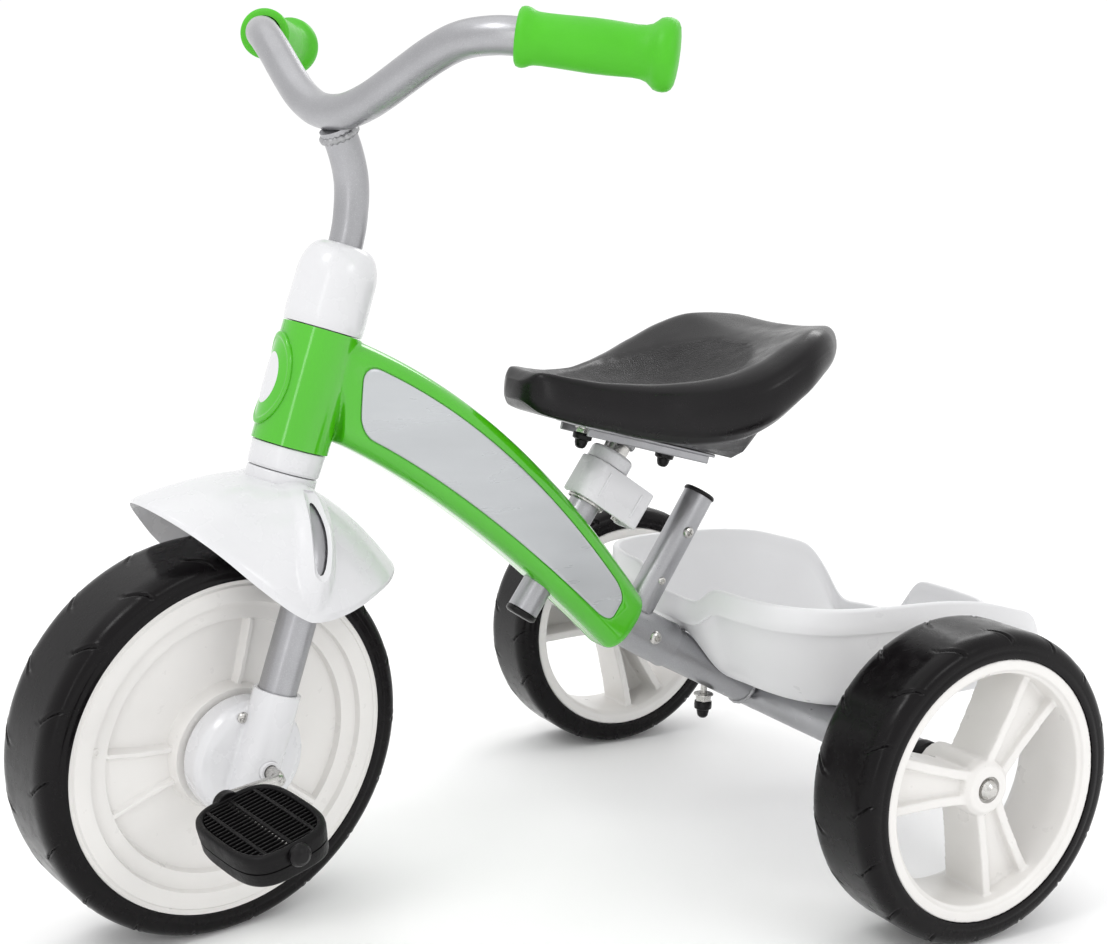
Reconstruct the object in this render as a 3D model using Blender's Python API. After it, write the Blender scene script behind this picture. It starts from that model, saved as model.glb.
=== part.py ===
"""Children's tricycle: welded tube frame with moulded covers, steered front wheel with direct
pedals, two free rear wheels, saddle on a clamped post, rear toy basket.

Frame: metres, +X forward, +Y to the rider's left, +Z up. The origin is on the floor under the
middle of the tricycle. Drawing stations below are measured from the rear axle line (x = 0 there)
and the whole object hangs from one empty that moves the rear axle to x = -ORIGIN_X.
The steering group is drawn straight ahead in its own frame: origin at the front wheel's centre,
+Z up the steering axis, +X forward, +Y left, and is shown turned left by STEER_DEG.
"""
import bpy
import bmesh
import numpy as np
from math import sin, cos, tan, pi, radians, degrees, sqrt, atan2, hypot
from mathutils import Vector, Matrix

# ---------------------------------------------------------------- driving dimensions
ORIGIN_X = 0.1832        # rear axle line to the middle of the overall length
WHEELBASE = 0.433
FRONT_R = 0.125          # front tyre radius, a 250 mm wheel
FRONT_RIM_R = 0.1084
FRONT_HALF_W = 0.0305    # half width of the front wheel at its faces
REAR_R = 0.104           # rear tyre radius
REAR_RIM_R = 0.0868
REAR_IN = 0.1916         # inner and outer faces of a rear wheel
REAR_OUT = 0.2498
HEAD_TILT = 16.0         # steering axis leans back, degrees
STEER_DEG = 11.6         # steering shown turned left
WHEEL_LIFT = 0.00024     # lifts the leaning front wheel so that its tread edge meets the floor

STEERER_R = 0.0110
HEAD_TUBE_R = 0.0170
COVER_R = 0.0250
SPINE_R = 0.0150
SLEEVE_R = 0.0169
AXLE_TUBE_R = 0.0155
AXLE_ROD_R = 0.0040
SEAT_TUBE_R = 0.0110
POST_R = 0.0092
GAP = 0.0003

LEG_R = 0.0120
LEG_Y = 0.0585
CRANK_R = 0.0040
CRANK_ARM = 0.041
CRANK_DEG = -21.5
PEDAL_Y0, PEDAL_Y1 = 0.0935, 0.1710
PEDAL_TILT = 30.0

BAR_R = 0.0110
STEM_R = 0.0110

for ob in list(bpy.data.objects):
    bpy.data.objects.remove(ob, do_unlink=True)


# ---------------------------------------------------------------- materials
def material(name, rgb, rough, metal=0.0):
    m = bpy.data.materials.new(name)
    m.use_nodes = True
    b = m.node_tree.nodes["Principled BSDF"]
    b.inputs["Base Color"].default_value = (*rgb, 1.0)
    b.inputs["Roughness"].default_value = rough
    b.inputs["Metallic"].default_value = metal
    m.diffuse_color = (*rgb, 1.0)
    return m


GREEN = material("green_plastic", (0.07, 0.50, 0.015), 0.28)
WHITE = material("white_plastic", (0.84, 0.84, 0.85), 0.38)
RIMWH = material("rim_plastic", (0.83, 0.82, 0.80), 0.42)
GREY = material("grey_panel", (0.50, 0.52, 0.53), 0.45)
BLACK = material("black_plastic", (0.018, 0.016, 0.018), 0.35)
TYRE = material("black_foam_tyre", (0.014, 0.012, 0.014), 0.32)
SILVER = material("silver_paint", (0.42, 0.42, 0.44), 0.36, 0.85)
STEEL = material("zinc_steel", (0.62, 0.61, 0.60), 0.28, 1.0)
GRIP = material("green_rubber", (0.075, 0.52, 0.02), 0.5)


# ---------------------------------------------------------------- helpers
def empty(name, parent=None, loc=(0, 0, 0), rot=(0, 0, 0), order="XYZ"):
    e = bpy.data.objects.new(name, None)
    bpy.context.scene.collection.objects.link(e)
    e.rotation_mode = order
    e.location = loc
    e.rotation_euler = rot
    e.parent = parent
    return e


def close_up(bm):
    bmesh.ops.remove_doubles(bm, verts=bm.verts, dist=1e-7)
    bmesh.ops.recalc_face_normals(bm, faces=bm.faces)
    vol = bm.calc_volume(signed=True)
    if vol < 0:
        bmesh.ops.reverse_faces(bm, faces=bm.faces)


def solid(name, verts, faces, mat, parent, loc=(0, 0, 0), rot=(0, 0, 0), sharp=35, tri=False):
    me = bpy.data.meshes.new(name)
    bm = bmesh.new()
    vs = [bm.verts.new(v) for v in verts]
    for f in faces:
        if len(set(f)) > 2:
            bm.faces.new([vs[i] for i in f])
    close_up(bm)
    if tri:
        bmesh.ops.triangulate(bm, faces=bm.faces)
    bm.to_mesh(me)
    bm.free()
    me.shade_smooth()
    me.set_sharp_from_angle(angle=radians(sharp))
    ob = bpy.data.objects.new(name, me)
    bpy.context.scene.collection.objects.link(ob)
    if mat:
        me.materials.append(mat)
    ob.parent = parent
    ob.location = loc
    ob.rotation_euler = rot
    return ob


def cutter(ob):
    ob.hide_render = True
    ob.display_type = "WIRE"
    return ob


def boolean(ob, other, op="DIFFERENCE"):
    m = ob.modifiers.new(op.lower() + "_" + other.name, "BOOLEAN")
    m.operation = op
    m.solver = "EXACT"
    m.object = other
    return ob


def turned(profile, n):
    """Verts and faces of a body turned about Z. profile is a closed loop of (r, z); points with
    r = 0 lie on the axis."""
    verts, ring = [], []
    for r, z in profile:
        if r < 1e-9:
            ring.append([len(verts)] * n)
            verts.append((0, 0, z))
        else:
            ring.append(list(range(len(verts), len(verts) + n)))
            verts += [(r * cos(2 * pi * k / n), r * sin(2 * pi * k / n), z) for k in range(n)]
    faces = []
    m = len(profile)
    for i in range(m):
        a, b = ring[i], ring[(i + 1) % m]
        if a[0] == a[1] and b[0] == b[1]:
            continue
        for k in range(n):
            q = [a[k], a[(k + 1) % n], b[(k + 1) % n], b[k]]
            f = []
            for v in q:
                if v not in f:
                    f.append(v)
            faces.append(f)
    return verts, faces


def lathe(name, profile, mat, parent, n=24, loc=(0, 0, 0), rot=(0, 0, 0), sharp=35):
    v, f = turned(profile, n)
    return solid(name, v, f, mat, parent, loc, rot, sharp)


def along_y(profile, n=24):
    """A turned body whose axis is Y: profile of (r, y)."""
    v, f = turned(profile, n)
    return [(x, z, y) for x, y, z in v], f


def lathe_y(name, profile, mat, parent, n=24, loc=(0, 0, 0), sharp=35):
    v, f = along_y(profile, n)
    return solid(name, v, f, mat, parent, loc, (0, 0, 0), sharp)


def ring(ri, ro, z0, z1):
    """Profile of a plain ring."""
    return [(ri, z0), (ro, z0), (ro, z1), (ri, z1)]


def rod(r, z0, z1):
    return [(0, z0), (r, z0), (r, z1), (0, z1)]


def smooth_path(points, n):
    """Catmull-Rom curve through the points, n steps between each pair."""
    p = [Vector(q) for q in points]
    p = [2 * p[0] - p[1]] + p + [2 * p[-1] - p[-2]]
    out = []
    for i in range(1, len(p) - 2):
        for k in range(n):
            t = k / n
            a, b, c, d = p[i - 1], p[i], p[i + 1], p[i + 2]
            out.append(0.5 * ((2 * b) + (c - a) * t + (2 * a - 5 * b + 4 * c - d) * t * t
                              + (3 * b - a - 3 * c + d) * t ** 3))
    out.append(p[-2])
    return out


def rounded_path(points, radius, n=4):
    """Straight runs joined by arcs of the given radius."""
    p = [Vector(q) for q in points]
    out = [p[0]]
    for i in range(1, len(p) - 1):
        a, b = (p[i - 1] - p[i]).normalized(), (p[i + 1] - p[i]).normalized()
        ang = a.angle(b)
        d = radius / tan(ang / 2)
        s, e = p[i] + a * d, p[i] + b * d
        centre = p[i] + (a + b).normalized() * (radius / sin(ang / 2))
        for k in range(n + 1):
            t = k / n
            v = ((s - centre) * sin((1 - t) * (pi - ang)) + (e - centre) * sin(t * (pi - ang))) / sin(pi - ang)
            out.append(centre + v)
    out.append(p[-1])
    return out


def sweep_mesh(path, r, n, bore=0.0):
    """A round bar or tube along a path, with flat ends. r may be a list."""
    path = [Vector(q) for q in path]
    m = len(path)
    rs = r if isinstance(r, list) else [r] * m
    tangents = []
    for i in range(m):
        a = path[max(i - 1, 0)]
        b = path[min(i + 1, m - 1)]
        tangents.append((b - a).normalized())
    up = Vector((0, 1, 0)) if abs(tangents[0].y) < 0.9 else Vector((1, 0, 0))
    u = tangents[0].cross(up).normalized()
    verts, faces = [], []
    rings = []
    for i in range(m):
        t = tangents[i]
        u = (u - t * u.dot(t)).normalized()
        w = t.cross(u)
        for rr in ([rs[i]] + ([bore] if bore else [])):
            idx = []
            for k in range(n):
                a = 2 * pi * k / n
                idx.append(len(verts))
                verts.append(path[i] + rr * (cos(a) * u + sin(a) * w))
            rings.append(idx)
    step = 2 if bore else 1
    def quad(a, b, flip=False):
        for k in range(n):
            q = [a[k], a[(k + 1) % n], b[(k + 1) % n], b[k]]
            faces.append(q[::-1] if flip else q)
    for i in range(m - 1):
        quad(rings[i * step], rings[(i + 1) * step])
        if bore:
            quad(rings[i * step + 1], rings[(i + 1) * step + 1], True)
    if bore:
        quad(rings[0], rings[1], True)
        quad(rings[-2], rings[-1])
    else:
        faces.append(rings[0][::-1])
        faces.append(rings[-1])
    return verts, faces


def sweep(name, path, r, mat, parent, n=16, bore=0.0, sharp=50):
    v, f = sweep_mesh(path, r, n, bore)
    return solid(name, v, f, mat, parent, sharp=sharp)


def block(name, lo, hi, mat, parent, loc=(0, 0, 0), rot=(0, 0, 0), bevel=0.0, seg=2):
    v = [(x, y, z) for x in (lo[0], hi[0]) for y in (lo[1], hi[1]) for z in (lo[2], hi[2])]
    f = [(0, 1, 3, 2), (4, 6, 7, 5), (0, 4, 5, 1), (2, 3, 7, 6), (0, 2, 6, 4), (1, 5, 7, 3)]
    ob = solid(name, v, f, mat, parent, loc, rot)
    if bevel:
        b = ob.modifiers.new("edge_round", "BEVEL")
        b.width = bevel
        b.segments = seg
        b.limit_method = "ANGLE"
        b.angle_limit = radians(40)
    return ob


def extruded(outline, y0, y1):
    """A flat outline in the XZ plane made into a slab from y0 to y1."""
    n = len(outline)
    v = [(x, y0, z) for x, z in outline] + [(x, y1, z) for x, z in outline]
    f = [tuple(range(n)), tuple(range(2 * n - 1, n - 1, -1))]
    f += [(i, (i + 1) % n, n + (i + 1) % n, n + i) for i in range(n)]
    return v, f


def bezier(p0, p1, p2, p3, t):
    s = 1 - t
    return tuple(s ** 3 * a + 3 * s * s * t * b + 3 * s * t * t * c + t ** 3 * d
                 for a, b, c, d in zip(p0, p1, p2, p3))


def interp(x, xs, ys):
    return float(np.interp(x, xs, ys))


def eased(x, xs, ys):
    """Monotone smooth interpolation through design stations."""
    if x <= xs[0]:
        return ys[0]
    for i in range(len(xs) - 1):
        if x <= xs[i + 1]:
            h = xs[i + 1] - xs[i]
            t = (x - xs[i]) / h
            def slope(j):
                if j <= 0 or j >= len(xs) - 1:
                    return 0.0 if j >= len(xs) - 1 else (ys[1] - ys[0]) / (xs[1] - xs[0])
                a = (ys[j] - ys[j - 1]) / (xs[j] - xs[j - 1])
                b = (ys[j + 1] - ys[j]) / (xs[j + 1] - xs[j])
                return 0.0 if a * b <= 0 else 2 * a * b / (a + b)
            m0, m1 = slope(i), slope(i + 1)
            return ((2 * t ** 3 - 3 * t * t + 1) * ys[i] + (t ** 3 - 2 * t * t + t) * h * m0
                    + (-2 * t ** 3 + 3 * t * t) * ys[i + 1] + (t ** 3 - t * t) * h * m1)
    return ys[-1]


# ---------------------------------------------------------------- frames of reference
TILT = radians(HEAD_TILT)
frame = empty("frame_root", None, (-ORIGIN_X, 0, 0))
steer = empty("steering_axis", frame, (WHEELBASE, 0, FRONT_R + WHEEL_LIFT),
              (0, -TILT, radians(STEER_DEG)), "ZYX")
head = empty("head_axis", frame, (WHEELBASE, 0, FRONT_R + WHEEL_LIFT), (0, -TILT, 0))
front_wheel = empty("front_wheel_axis", steer)


def on_head(s, dx=0.0):
    """Point in the centre plane at s up the steering axis and dx in front of it."""
    return (WHEELBASE - s * sin(TILT) + dx * cos(TILT),
            FRONT_R + WHEEL_LIFT + s * cos(TILT) + dx * sin(TILT))


# ---------------------------------------------------------------- frame: head tube and spine
lathe("head_tube", ring(0.0133, HEAD_TUBE_R, 0.1925, 0.2625), SILVER, head, 18)
lathe("head_bush_lower", [(0.0113, 0.1895), (0.0200, 0.1895), (0.0200, 0.1922), (0.0130, 0.1922),
                          (0.0130, 0.2020), (0.0113, 0.2020)], BLACK, head, 18)
lathe("head_bush_upper", [(0.0113, 0.2530), (0.0130, 0.2530), (0.0130, 0.2628), (0.0200, 0.2628),
                          (0.0200, 0.2655), (0.0113, 0.2655)], BLACK, head, 18)

hx, hz = on_head(0.228)
SPINE = [(hx - 0.0192 * 0.94, 0, hz - 0.0192 * 0.34), (0.322, 0, 0.3275), (0.292, 0, 0.3130), (0.255, 0, 0.2880),
         (0.215, 0, 0.2520), (0.178, 0, 0.2140), (0.146, 0, 0.1820), (0.120, 0, 0.1640),
         (0.095, 0, 0.1505), (0.060, 0, 0.1318), (0.0175, 0, 0.1098)]
spine_path = smooth_path(SPINE, 1)
spine = sweep("spine_tube", spine_path, SPINE_R, SILVER, frame, 12, bore=0.0130)

# the seat tube runs down through the spine
SEAT_LOW = Vector((0.2097, 0, 0.1830))
SEAT_DIR = Vector((-0.5440, 0, 0.8391)).normalized()
SEAT_BACK = Vector((-SEAT_DIR.z, 0, SEAT_DIR.x))
seat_angle = atan2(SEAT_DIR.x, SEAT_DIR.z)
seat_axis = empty("seat_tube_axis", frame, SEAT_LOW, (0, seat_angle, 0))
boolean(spine, cutter(lathe("cut_seat_tube", rod(SEAT_TUBE_R + GAP, -0.02, 0.15), None, seat_axis, 18)))

# joint sleeve where the spine comes apart for packing, and its hex socket screw
sleeve_path = [Vector((0.1330, 0, 0.1730)), Vector((0.120, 0, 0.1640)), Vector((0.095, 0, 0.1505)), Vector((0.0880, 0, 0.14676))]
sleeve = sweep("spine_sleeve", sleeve_path, SLEEVE_R, SILVER, frame, 18, bore=0.0156)
scr = Vector((0.1085, SLEEVE_R - 0.0001, 0.1580))
screw_cut = cutter(lathe_y("cut_sleeve_screw", rod(0.0033, -0.006, 0.01), None, frame, 10, loc=scr))
boolean(sleeve, screw_cut)
boolean(spine, screw_cut)
lathe_y("sleeve_screw", [(0, -0.0045), (0.0028, -0.0045), (0.0028, 0.0003), (0.0046, 0.0003), (0.0046, 0.0018),
                         (0.0038, 0.0026), (0.0020, 0.0026), (0.0020, 0.0008), (0, 0.0008)], STEEL, frame, 12, loc=scr)

# rear axle tube and the solid axle inside it
AXLE_Z = REAR_R
axle_tube = lathe_y("rear_axle_tube", ring(0.0135, AXLE_TUBE_R, -0.1800, 0.1800), SILVER, frame, 16,
                    loc=(0, 0, 0.1015))
lathe_y("rear_axle_rod", rod(AXLE_ROD_R, -0.2440, 0.2440), STEEL, frame, 10, loc=(0, 0, AXLE_Z))
for side, sg in (("left", 1), ("right", -1)):
    pr = [(0.0042, 0.1650), (0.0131, 0.1650), (0.0131, 0.1803), (0.0150, 0.1803), (0.0150, 0.1880), (0.0120, 0.1905),
          (0.0042, 0.1905)]
    ob = lathe_y("rear_axle_plug_" + side, [(r, y) for r, y in pr], BLACK, frame, 16, loc=(0, 0, AXLE_Z))
    ob.scale.y = sg
    # the plug's spigot is centred on the tube, its bore on the axle
for side, sg in (("left", 1), ("right", -1)):
    ob = bpy.data.objects["rear_axle_plug_" + side]
    me = ob.data
    for v in me.vertices:
        y = v.co.y
        rr = hypot(v.co.x, v.co.z)
        if rr > 0.006:
            v.co.z += 0.1015 - AXLE_Z
        v.co.y = sg * y
    ob.scale.y = 1
    if sg < 0:
        me.flip_normals()

# push-bar socket: a tube that stands on the sleeve behind the saddle
PUSH_LOW = Vector((0.1105, 0, 0.1825))
PUSH_DIR = Vector((0.0637 - 0.1100, 0, 0.2593 - 0.1829)).normalized()
push_angle = atan2(PUSH_DIR.x, PUSH_DIR.z)
push_axis = empty("push_socket_axis", frame, PUSH_LOW, (0, push_angle, 0))
socket = lathe("push_bar_socket", ring(0.0096, 0.0112, -0.0110, 0.0870), SILVER, push_axis, 18)
boolean(socket, cutter(sweep("cut_socket_foot", [Vector((0.146, 0, 0.1820)), Vector((0.120, 0, 0.1640)), Vector((0.095, 0, 0.1505)),
                                                 Vector((0.078, 0, 0.1414))], SLEEVE_R + 0.0007, None, frame, 18)))
lathe("push_bar_cap", [(0, 0.0770), (0.0092, 0.0770), (0.0092, 0.0873), (0.0114, 0.0873), (0.0114, 0.0890),
                       (0.0106, 0.0900), (0, 0.0900)], BLACK, push_axis, 18)
# ---------------------------------------------------------------- moulded beam covers
TOP = ((0.352, 0.379), (0.270, 0.350), (0.195, 0.290), (0.1205, 0.1905))
BOT = ((0.352, 0.3085), (0.290, 0.2790), (0.215, 0.2200), (0.1475, 0.1535))
COVER_W = 0.0205
WALL = 0.0022


def beam_section(t, inset):
    """Centre, half height, half width and the section's upward direction at station t."""
    if t <= 1:
        a, b = bezier(*TOP, t), bezier(*BOT, t)
    else:
        a, b = bezier(*TOP, 1.0), bezier(*BOT, 1.0)
    a, b = Vector((a[0], 0, a[1])), Vector((b[0], 0, b[1]))
    up = (a - b).normalized()
    back = Vector((-up.z, 0, up.x))
    c, h = (a + b) / 2, (a - b).length / 2
    w = COVER_W
    if t > 1:
        q = (t - 1)
        c = c + back * (0.0085 * sin(q * pi / 2))
        k = cos(q * pi / 2 * 0.72)
        h *= k
        w *= 0.45 + 0.55 * k
    return c, h - inset, w - inset, up


def beam_mesh(ts, inset, corner, per=3):
    verts, rings = [], []
    for t in ts:
        c, h, w, up = beam_section(t, inset)
        r = min(corner, h * 0.98, w * 0.98)
        idx = []
        for qx, qz, a0 in ((1, 1, 0), (-1, 1, pi / 2), (-1, -1, pi), (1, -1, 3 * pi / 2)):
            for k in range(per + 1):
                a = a0 + pi / 2 * k / per
                y = qx * (w - r) + r * cos(a)
                z = qz * (h - r) + r * sin(a)
                idx.append(len(verts))
                verts.append(c + Vector((0, y, 0)) + up * z)
        rings.append(idx)
    faces = []
    n = len(rings[0])
    for a, b in zip(rings[:-1], rings[1:]):
        faces += [(a[k], a[(k + 1) % n], b[(k + 1) % n], b[k]) for k in range(n)]
    faces += [tuple(rings[0][::-1]), tuple(rings[-1])]
    return verts, faces


def panel_outline(grow, t0=0.055, t1=0.955):
    up_side, low_side = [], []
    ends = (1.0, 0.985, 0.95, 0.90, 0.72, 0.48, 0.24)
    for u in [-e for e in ends] + [0.0] + list(ends[::-1]):
        t = (t0 + t1) / 2 + (t1 - t0) / 2 * u * (1 + grow / 0.11)
        c, h, w, up = beam_section(t, 0)
        e = 0.90
        f = 1.0 if abs(u) <= e else 0.45 + 0.55 * sqrt(max(0.0, 1 - ((abs(u) - e) / (1 - e)) ** 2))
        half = (h - 0.0125 + grow) * f
        p, q = c + up * half, c - up * half
        up_side.append((p.x, p.z))
        low_side.append((q.x, q.z))
    pts = up_side + low_side[::-1]
    out = []
    for p in pts:
        if not out or hypot(p[0] - out[-1][0], p[1] - out[-1][1]) > 2e-4:
            out.append(p)
    if hypot(out[0][0] - out[-1][0], out[0][1] - out[-1][1]) < 2e-4:
        out.pop()
    return out


stations = [k / 8 for k in range(9)] + [1.45, 1.85, 2.0]
inner_stations = [-0.04] + [k / 8 for k in range(1, 8)] + [0.965]
bv, bf = beam_mesh(stations, 0.0, 0.0130, 2)
iv, jf = beam_mesh(inner_stations, WALL, 0.0108, 2)
cut_bore = cutter(lathe("cut_head_bore", rod(0.0222, 0.180, 0.275), None, head, 24))
cut_inner = cutter(solid("cut_beam_inner", iv, jf, None, frame, tri=True))
cut_sleeve = cutter(sweep("cut_beam_sleeve", [Vector((0.1520, 0, 0.1845)), Vector((0.0950, 0, 0.1482))], SLEEVE_R + 0.0008, None, frame, 18))
cut_seat = cutter(lathe("cut_cover_seat_tube", rod(SEAT_TUBE_R + GAP, -0.03, 0.15), None, seat_axis, 18))
cut_push = cutter(lathe("cut_cover_socket", rod(0.0118, -0.030, 0.090), None, push_axis, 18))
for side, sg in (("left", 1), ("right", -1)):
    body = lathe("frame_cover_" + side, rod(COVER_R, 0.1895, 0.2658), GREEN, head, 24)
    beam = cutter(solid("form_beam_" + side, bv, bf, None, frame, tri=True))
    boolean(body, beam, "UNION")
    boolean(body, cut_bore)
    boolean(body, cut_inner)
    boolean(body, cut_sleeve)
    boolean(body, cut_seat)
    boolean(body, cut_push)
    v, f = extruded(panel_outline(0.0003), 0.0193, 0.030)
    pocket = cutter(solid("cut_pocket_" + side, [(x, sg * y, z) for x, y, z in v], f, None, frame))
    boolean(body, pocket)
    boolean(body, cutter(block("cut_half_" + side, (-0.2, -0.2 if sg > 0 else -0.00015, -0.2),
                               (0.8, 0.00015 if sg > 0 else 0.2, 0.8), None, frame)))
    v, f = extruded(panel_outline(0.0), 0.0196, 0.0209)
    solid("side_panel_" + side, [(x, sg * y, z) for x, y, z in v], f, GREY, frame, sharp=30)

# plain oval badge wrapped round the front of the head cover
BADGE_HALF, BADGE_RISE, BADGE_Z = 0.0190, 0.0300, 0.2280
verts, rings = [], []
for rho, r in ((0.30, COVER_R + 0.0014), (0.84, COVER_R + 0.0014), (0.88, COVER_R + 0.0020), (0.96, COVER_R + 0.0020), (1.0, COVER_R + 0.0012),
               (1.0, COVER_R + GAP), (0.66, COVER_R + GAP), (0.30, COVER_R + GAP)):
    rings.append(list(range(len(verts), len(verts) + 24)))
    for k in range(24):
        a = 2 * pi * k / 24
        f = rho * BADGE_HALF / COVER_R * cos(a)
        verts.append((r * cos(f), r * sin(f), BADGE_Z + rho * BADGE_RISE * sin(a)))
verts += [(COVER_R + 0.0014, 0, BADGE_Z), (COVER_R + GAP, 0, BADGE_Z)]
faces = []
for a, b in zip(rings[:-1], rings[1:]):
    faces += [(a[k], a[(k + 1) % 24], b[(k + 1) % 24], b[k]) for k in range(24)]
faces += [(rings[0][(k + 1) % 24], rings[0][k], len(verts) - 2) for k in range(24)]
faces += [(rings[-1][k], rings[-1][(k + 1) % 24], len(verts) - 1) for k in range(24)]
solid("head_badge", verts, faces, GREEN, head, tri=True)

# ---------------------------------------------------------------- seat tube and clamp
seat_tube = lathe("seat_tube", ring(0.0095, SEAT_TUBE_R, 0.0012, 0.1060), SILVER, seat_axis, 18)
lathe("seat_tube_plug", [(0, -0.0030), (0.0102, -0.0030), (0.0112, -0.0020), (0.0112, 0.0008), (0.0091, 0.0008), (0.0091, 0.0100),
                         (0, 0.0100)], BLACK, seat_axis, 18)
clamp_ring = lathe("clamp_ring", [(0.0113, 0.0880), (0.0136, 0.0880), (0.0136, 0.0905), (0.0130, 0.0910), (0.0130, 0.1055), (0.0113, 0.1055)],
      STEEL, seat_axis, 18)
ear = cutter(block("form_clamp_ear", (-0.0350, -0.0050, 0.0925), (-0.0121, 0.0008, 0.1045), None, seat_axis))
boolean(clamp_ring, ear, "UNION")
boolean(clamp_ring, cutter(lathe("cut_ear_pin", rod(0.0030, 0.080, 0.120), None, seat_axis, 10, loc=(-0.0300, -0.0030, 0))))
# collar that lines the post, standing on the seat tube
lathe("seat_collar", [(0.0095, 0.1064), (0.0125, 0.1064), (0.0125, 0.1184), (0.0158, 0.1184), (0.0158, 0.1270), (0.0146, 0.1285),
                      (0.0095, 0.1285)], WHITE, seat_axis, 22)

# quick-release lever: a hollow moulding wrapped round the left of the clamp. Local frame of the
# seat tube: +X is forward and up, +Y left, +Z up the tube. Its pin stands behind the tube.
PIN_X = -0.0300
PIN_Y = -0.0030
clamp_pin_loc = SEAT_LOW + SEAT_BACK * 0.0300 + SEAT_DIR * 0.0880
lever_axis = empty("clamp_lever_axis", seat_axis, (PIN_X, PIN_Y, 0))


def lever_outline(grow):
    x0, x1, y0, y1 = -0.0085, 0.0480, -0.0050, 0.0205
    pts = []
    for cx, cy, r, a0 in ((x1 - 0.012, y1 - 0.012, 0.012, 0), (x0 + 0.0045, y1 - 0.0045, 0.0045, pi / 2),
                          (x0 + 0.003, y0 + 0.003, 0.003, pi), (x1 - 0.003, y0 + 0.003, 0.003, 3 * pi / 2)):
        for k in range(5):
            a = a0 + pi / 2 * k / 4
            pts.append((cx + (r + grow) * cos(a), cy + (r + grow) * sin(a)))
    return pts


def prism(outline, z0, z1, taper=1.0):
    n = len(outline)
    cx = sum(p[0] for p in outline) / n
    cy = sum(p[1] for p in outline) / n
    v = [(cx + (x - cx) * taper, cy + (y - cy) * taper, z0) for x, y in outline] + [(x, y, z1) for x, y in outline]
    f = [tuple(range(n - 1, -1, -1)), tuple(range(n, 2 * n))]
    f += [(i, (i + 1) % n, n + (i + 1) % n, n + i) for i in range(n)]
    return v, f


v, f = prism(lever_outline(0.0), 0.0895, 0.1180)
lever = solid("clamp_lever", v, f, WHITE, lever_axis)
v, f = prism(lever_outline(-0.0024), 0.0800, 0.1154)
boolean(lever, cutter(solid("cut_lever_inner", v, f, None, lever_axis)))
boolean(lever, cutter(lathe("cut_lever_tube", rod(0.0142, 0.07, 0.13), None, seat_axis, 22)))
boolean(lever, cutter(block("cut_lever_side", (-0.0185, -0.04, 0.07), (0.0142, 0.0, 0.13), None, seat_axis)))
boolean(lever, cutter(block("cut_lever_back", (-0.0335, -0.04, 0.07), (-0.0150, 0.0012, 0.1153), None, seat_axis)))
boolean(lever, cutter(lathe("cut_lever_pin", rod(0.0029, 0.07, 0.13), None, lever_axis, 10)))
lathe("clamp_pin", [(0, 0.0900), (0.0026, 0.0900), (0.0026, 0.1183), (0.0042, 0.1183), (0.0042, 0.1196), (0.0034, 0.1204), (0, 0.1204)],
      STEEL, lever_axis, 10)

# ---------------------------------------------------------------- seat post, plate and saddle
lathe("seat_post", ring(0.0074, POST_R, 0.0450, 0.1393), SILVER, seat_axis, 18)
PLATE_DEG = 13.5
plate_mid = Vector((0.1270, 0, 0.3030))
plate_axis = empty("saddle_plate_axis", frame, plate_mid, (0, -radians(PLATE_DEG), 0))
plate = block("saddle_plate", (-0.062, -0.021, -0.0012), (0.050, 0.021, 0.0013), SILVER, plate_axis, bevel=0.0008, seg=1)
post_gap = 0.0003


def saddle_half(t):
    return eased(t, (0, 0.012, 0.04, 0.12, 0.2, 0.3, 0.4, 0.5, 0.6, 0.7, 0.8, 0.9, 0.96, 1.0),
                 (0.010, 0.018, 0.0265, 0.0400, 0.0520, 0.0660, 0.0830, 0.0965, 0.1030, 0.1010, 0.0900, 0.0670, 0.0440, 0.014))


def saddle_rim(t):
    return eased(t, (0, 0.04, 0.12, 0.2, 0.3, 0.4, 0.5, 0.6, 0.7, 0.8, 0.9, 1.0),
                 (0.3440, 0.3475, 0.3445, 0.3420, 0.3415, 0.3440, 0.3495, 0.3590, 0.3710, 0.3795, 0.3818, 0.3755))


def saddle_low(t):
    return eased(t, (0, 0.04, 0.12, 0.2, 0.3, 0.4, 0.5, 0.6, 0.7, 0.8, 0.9, 1.0),
                 (0.3330, 0.3245, 0.3185, 0.3140, 0.3085, 0.3060, 0.3085, 0.3180, 0.3340, 0.3500, 0.3610, 0.3690))


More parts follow.
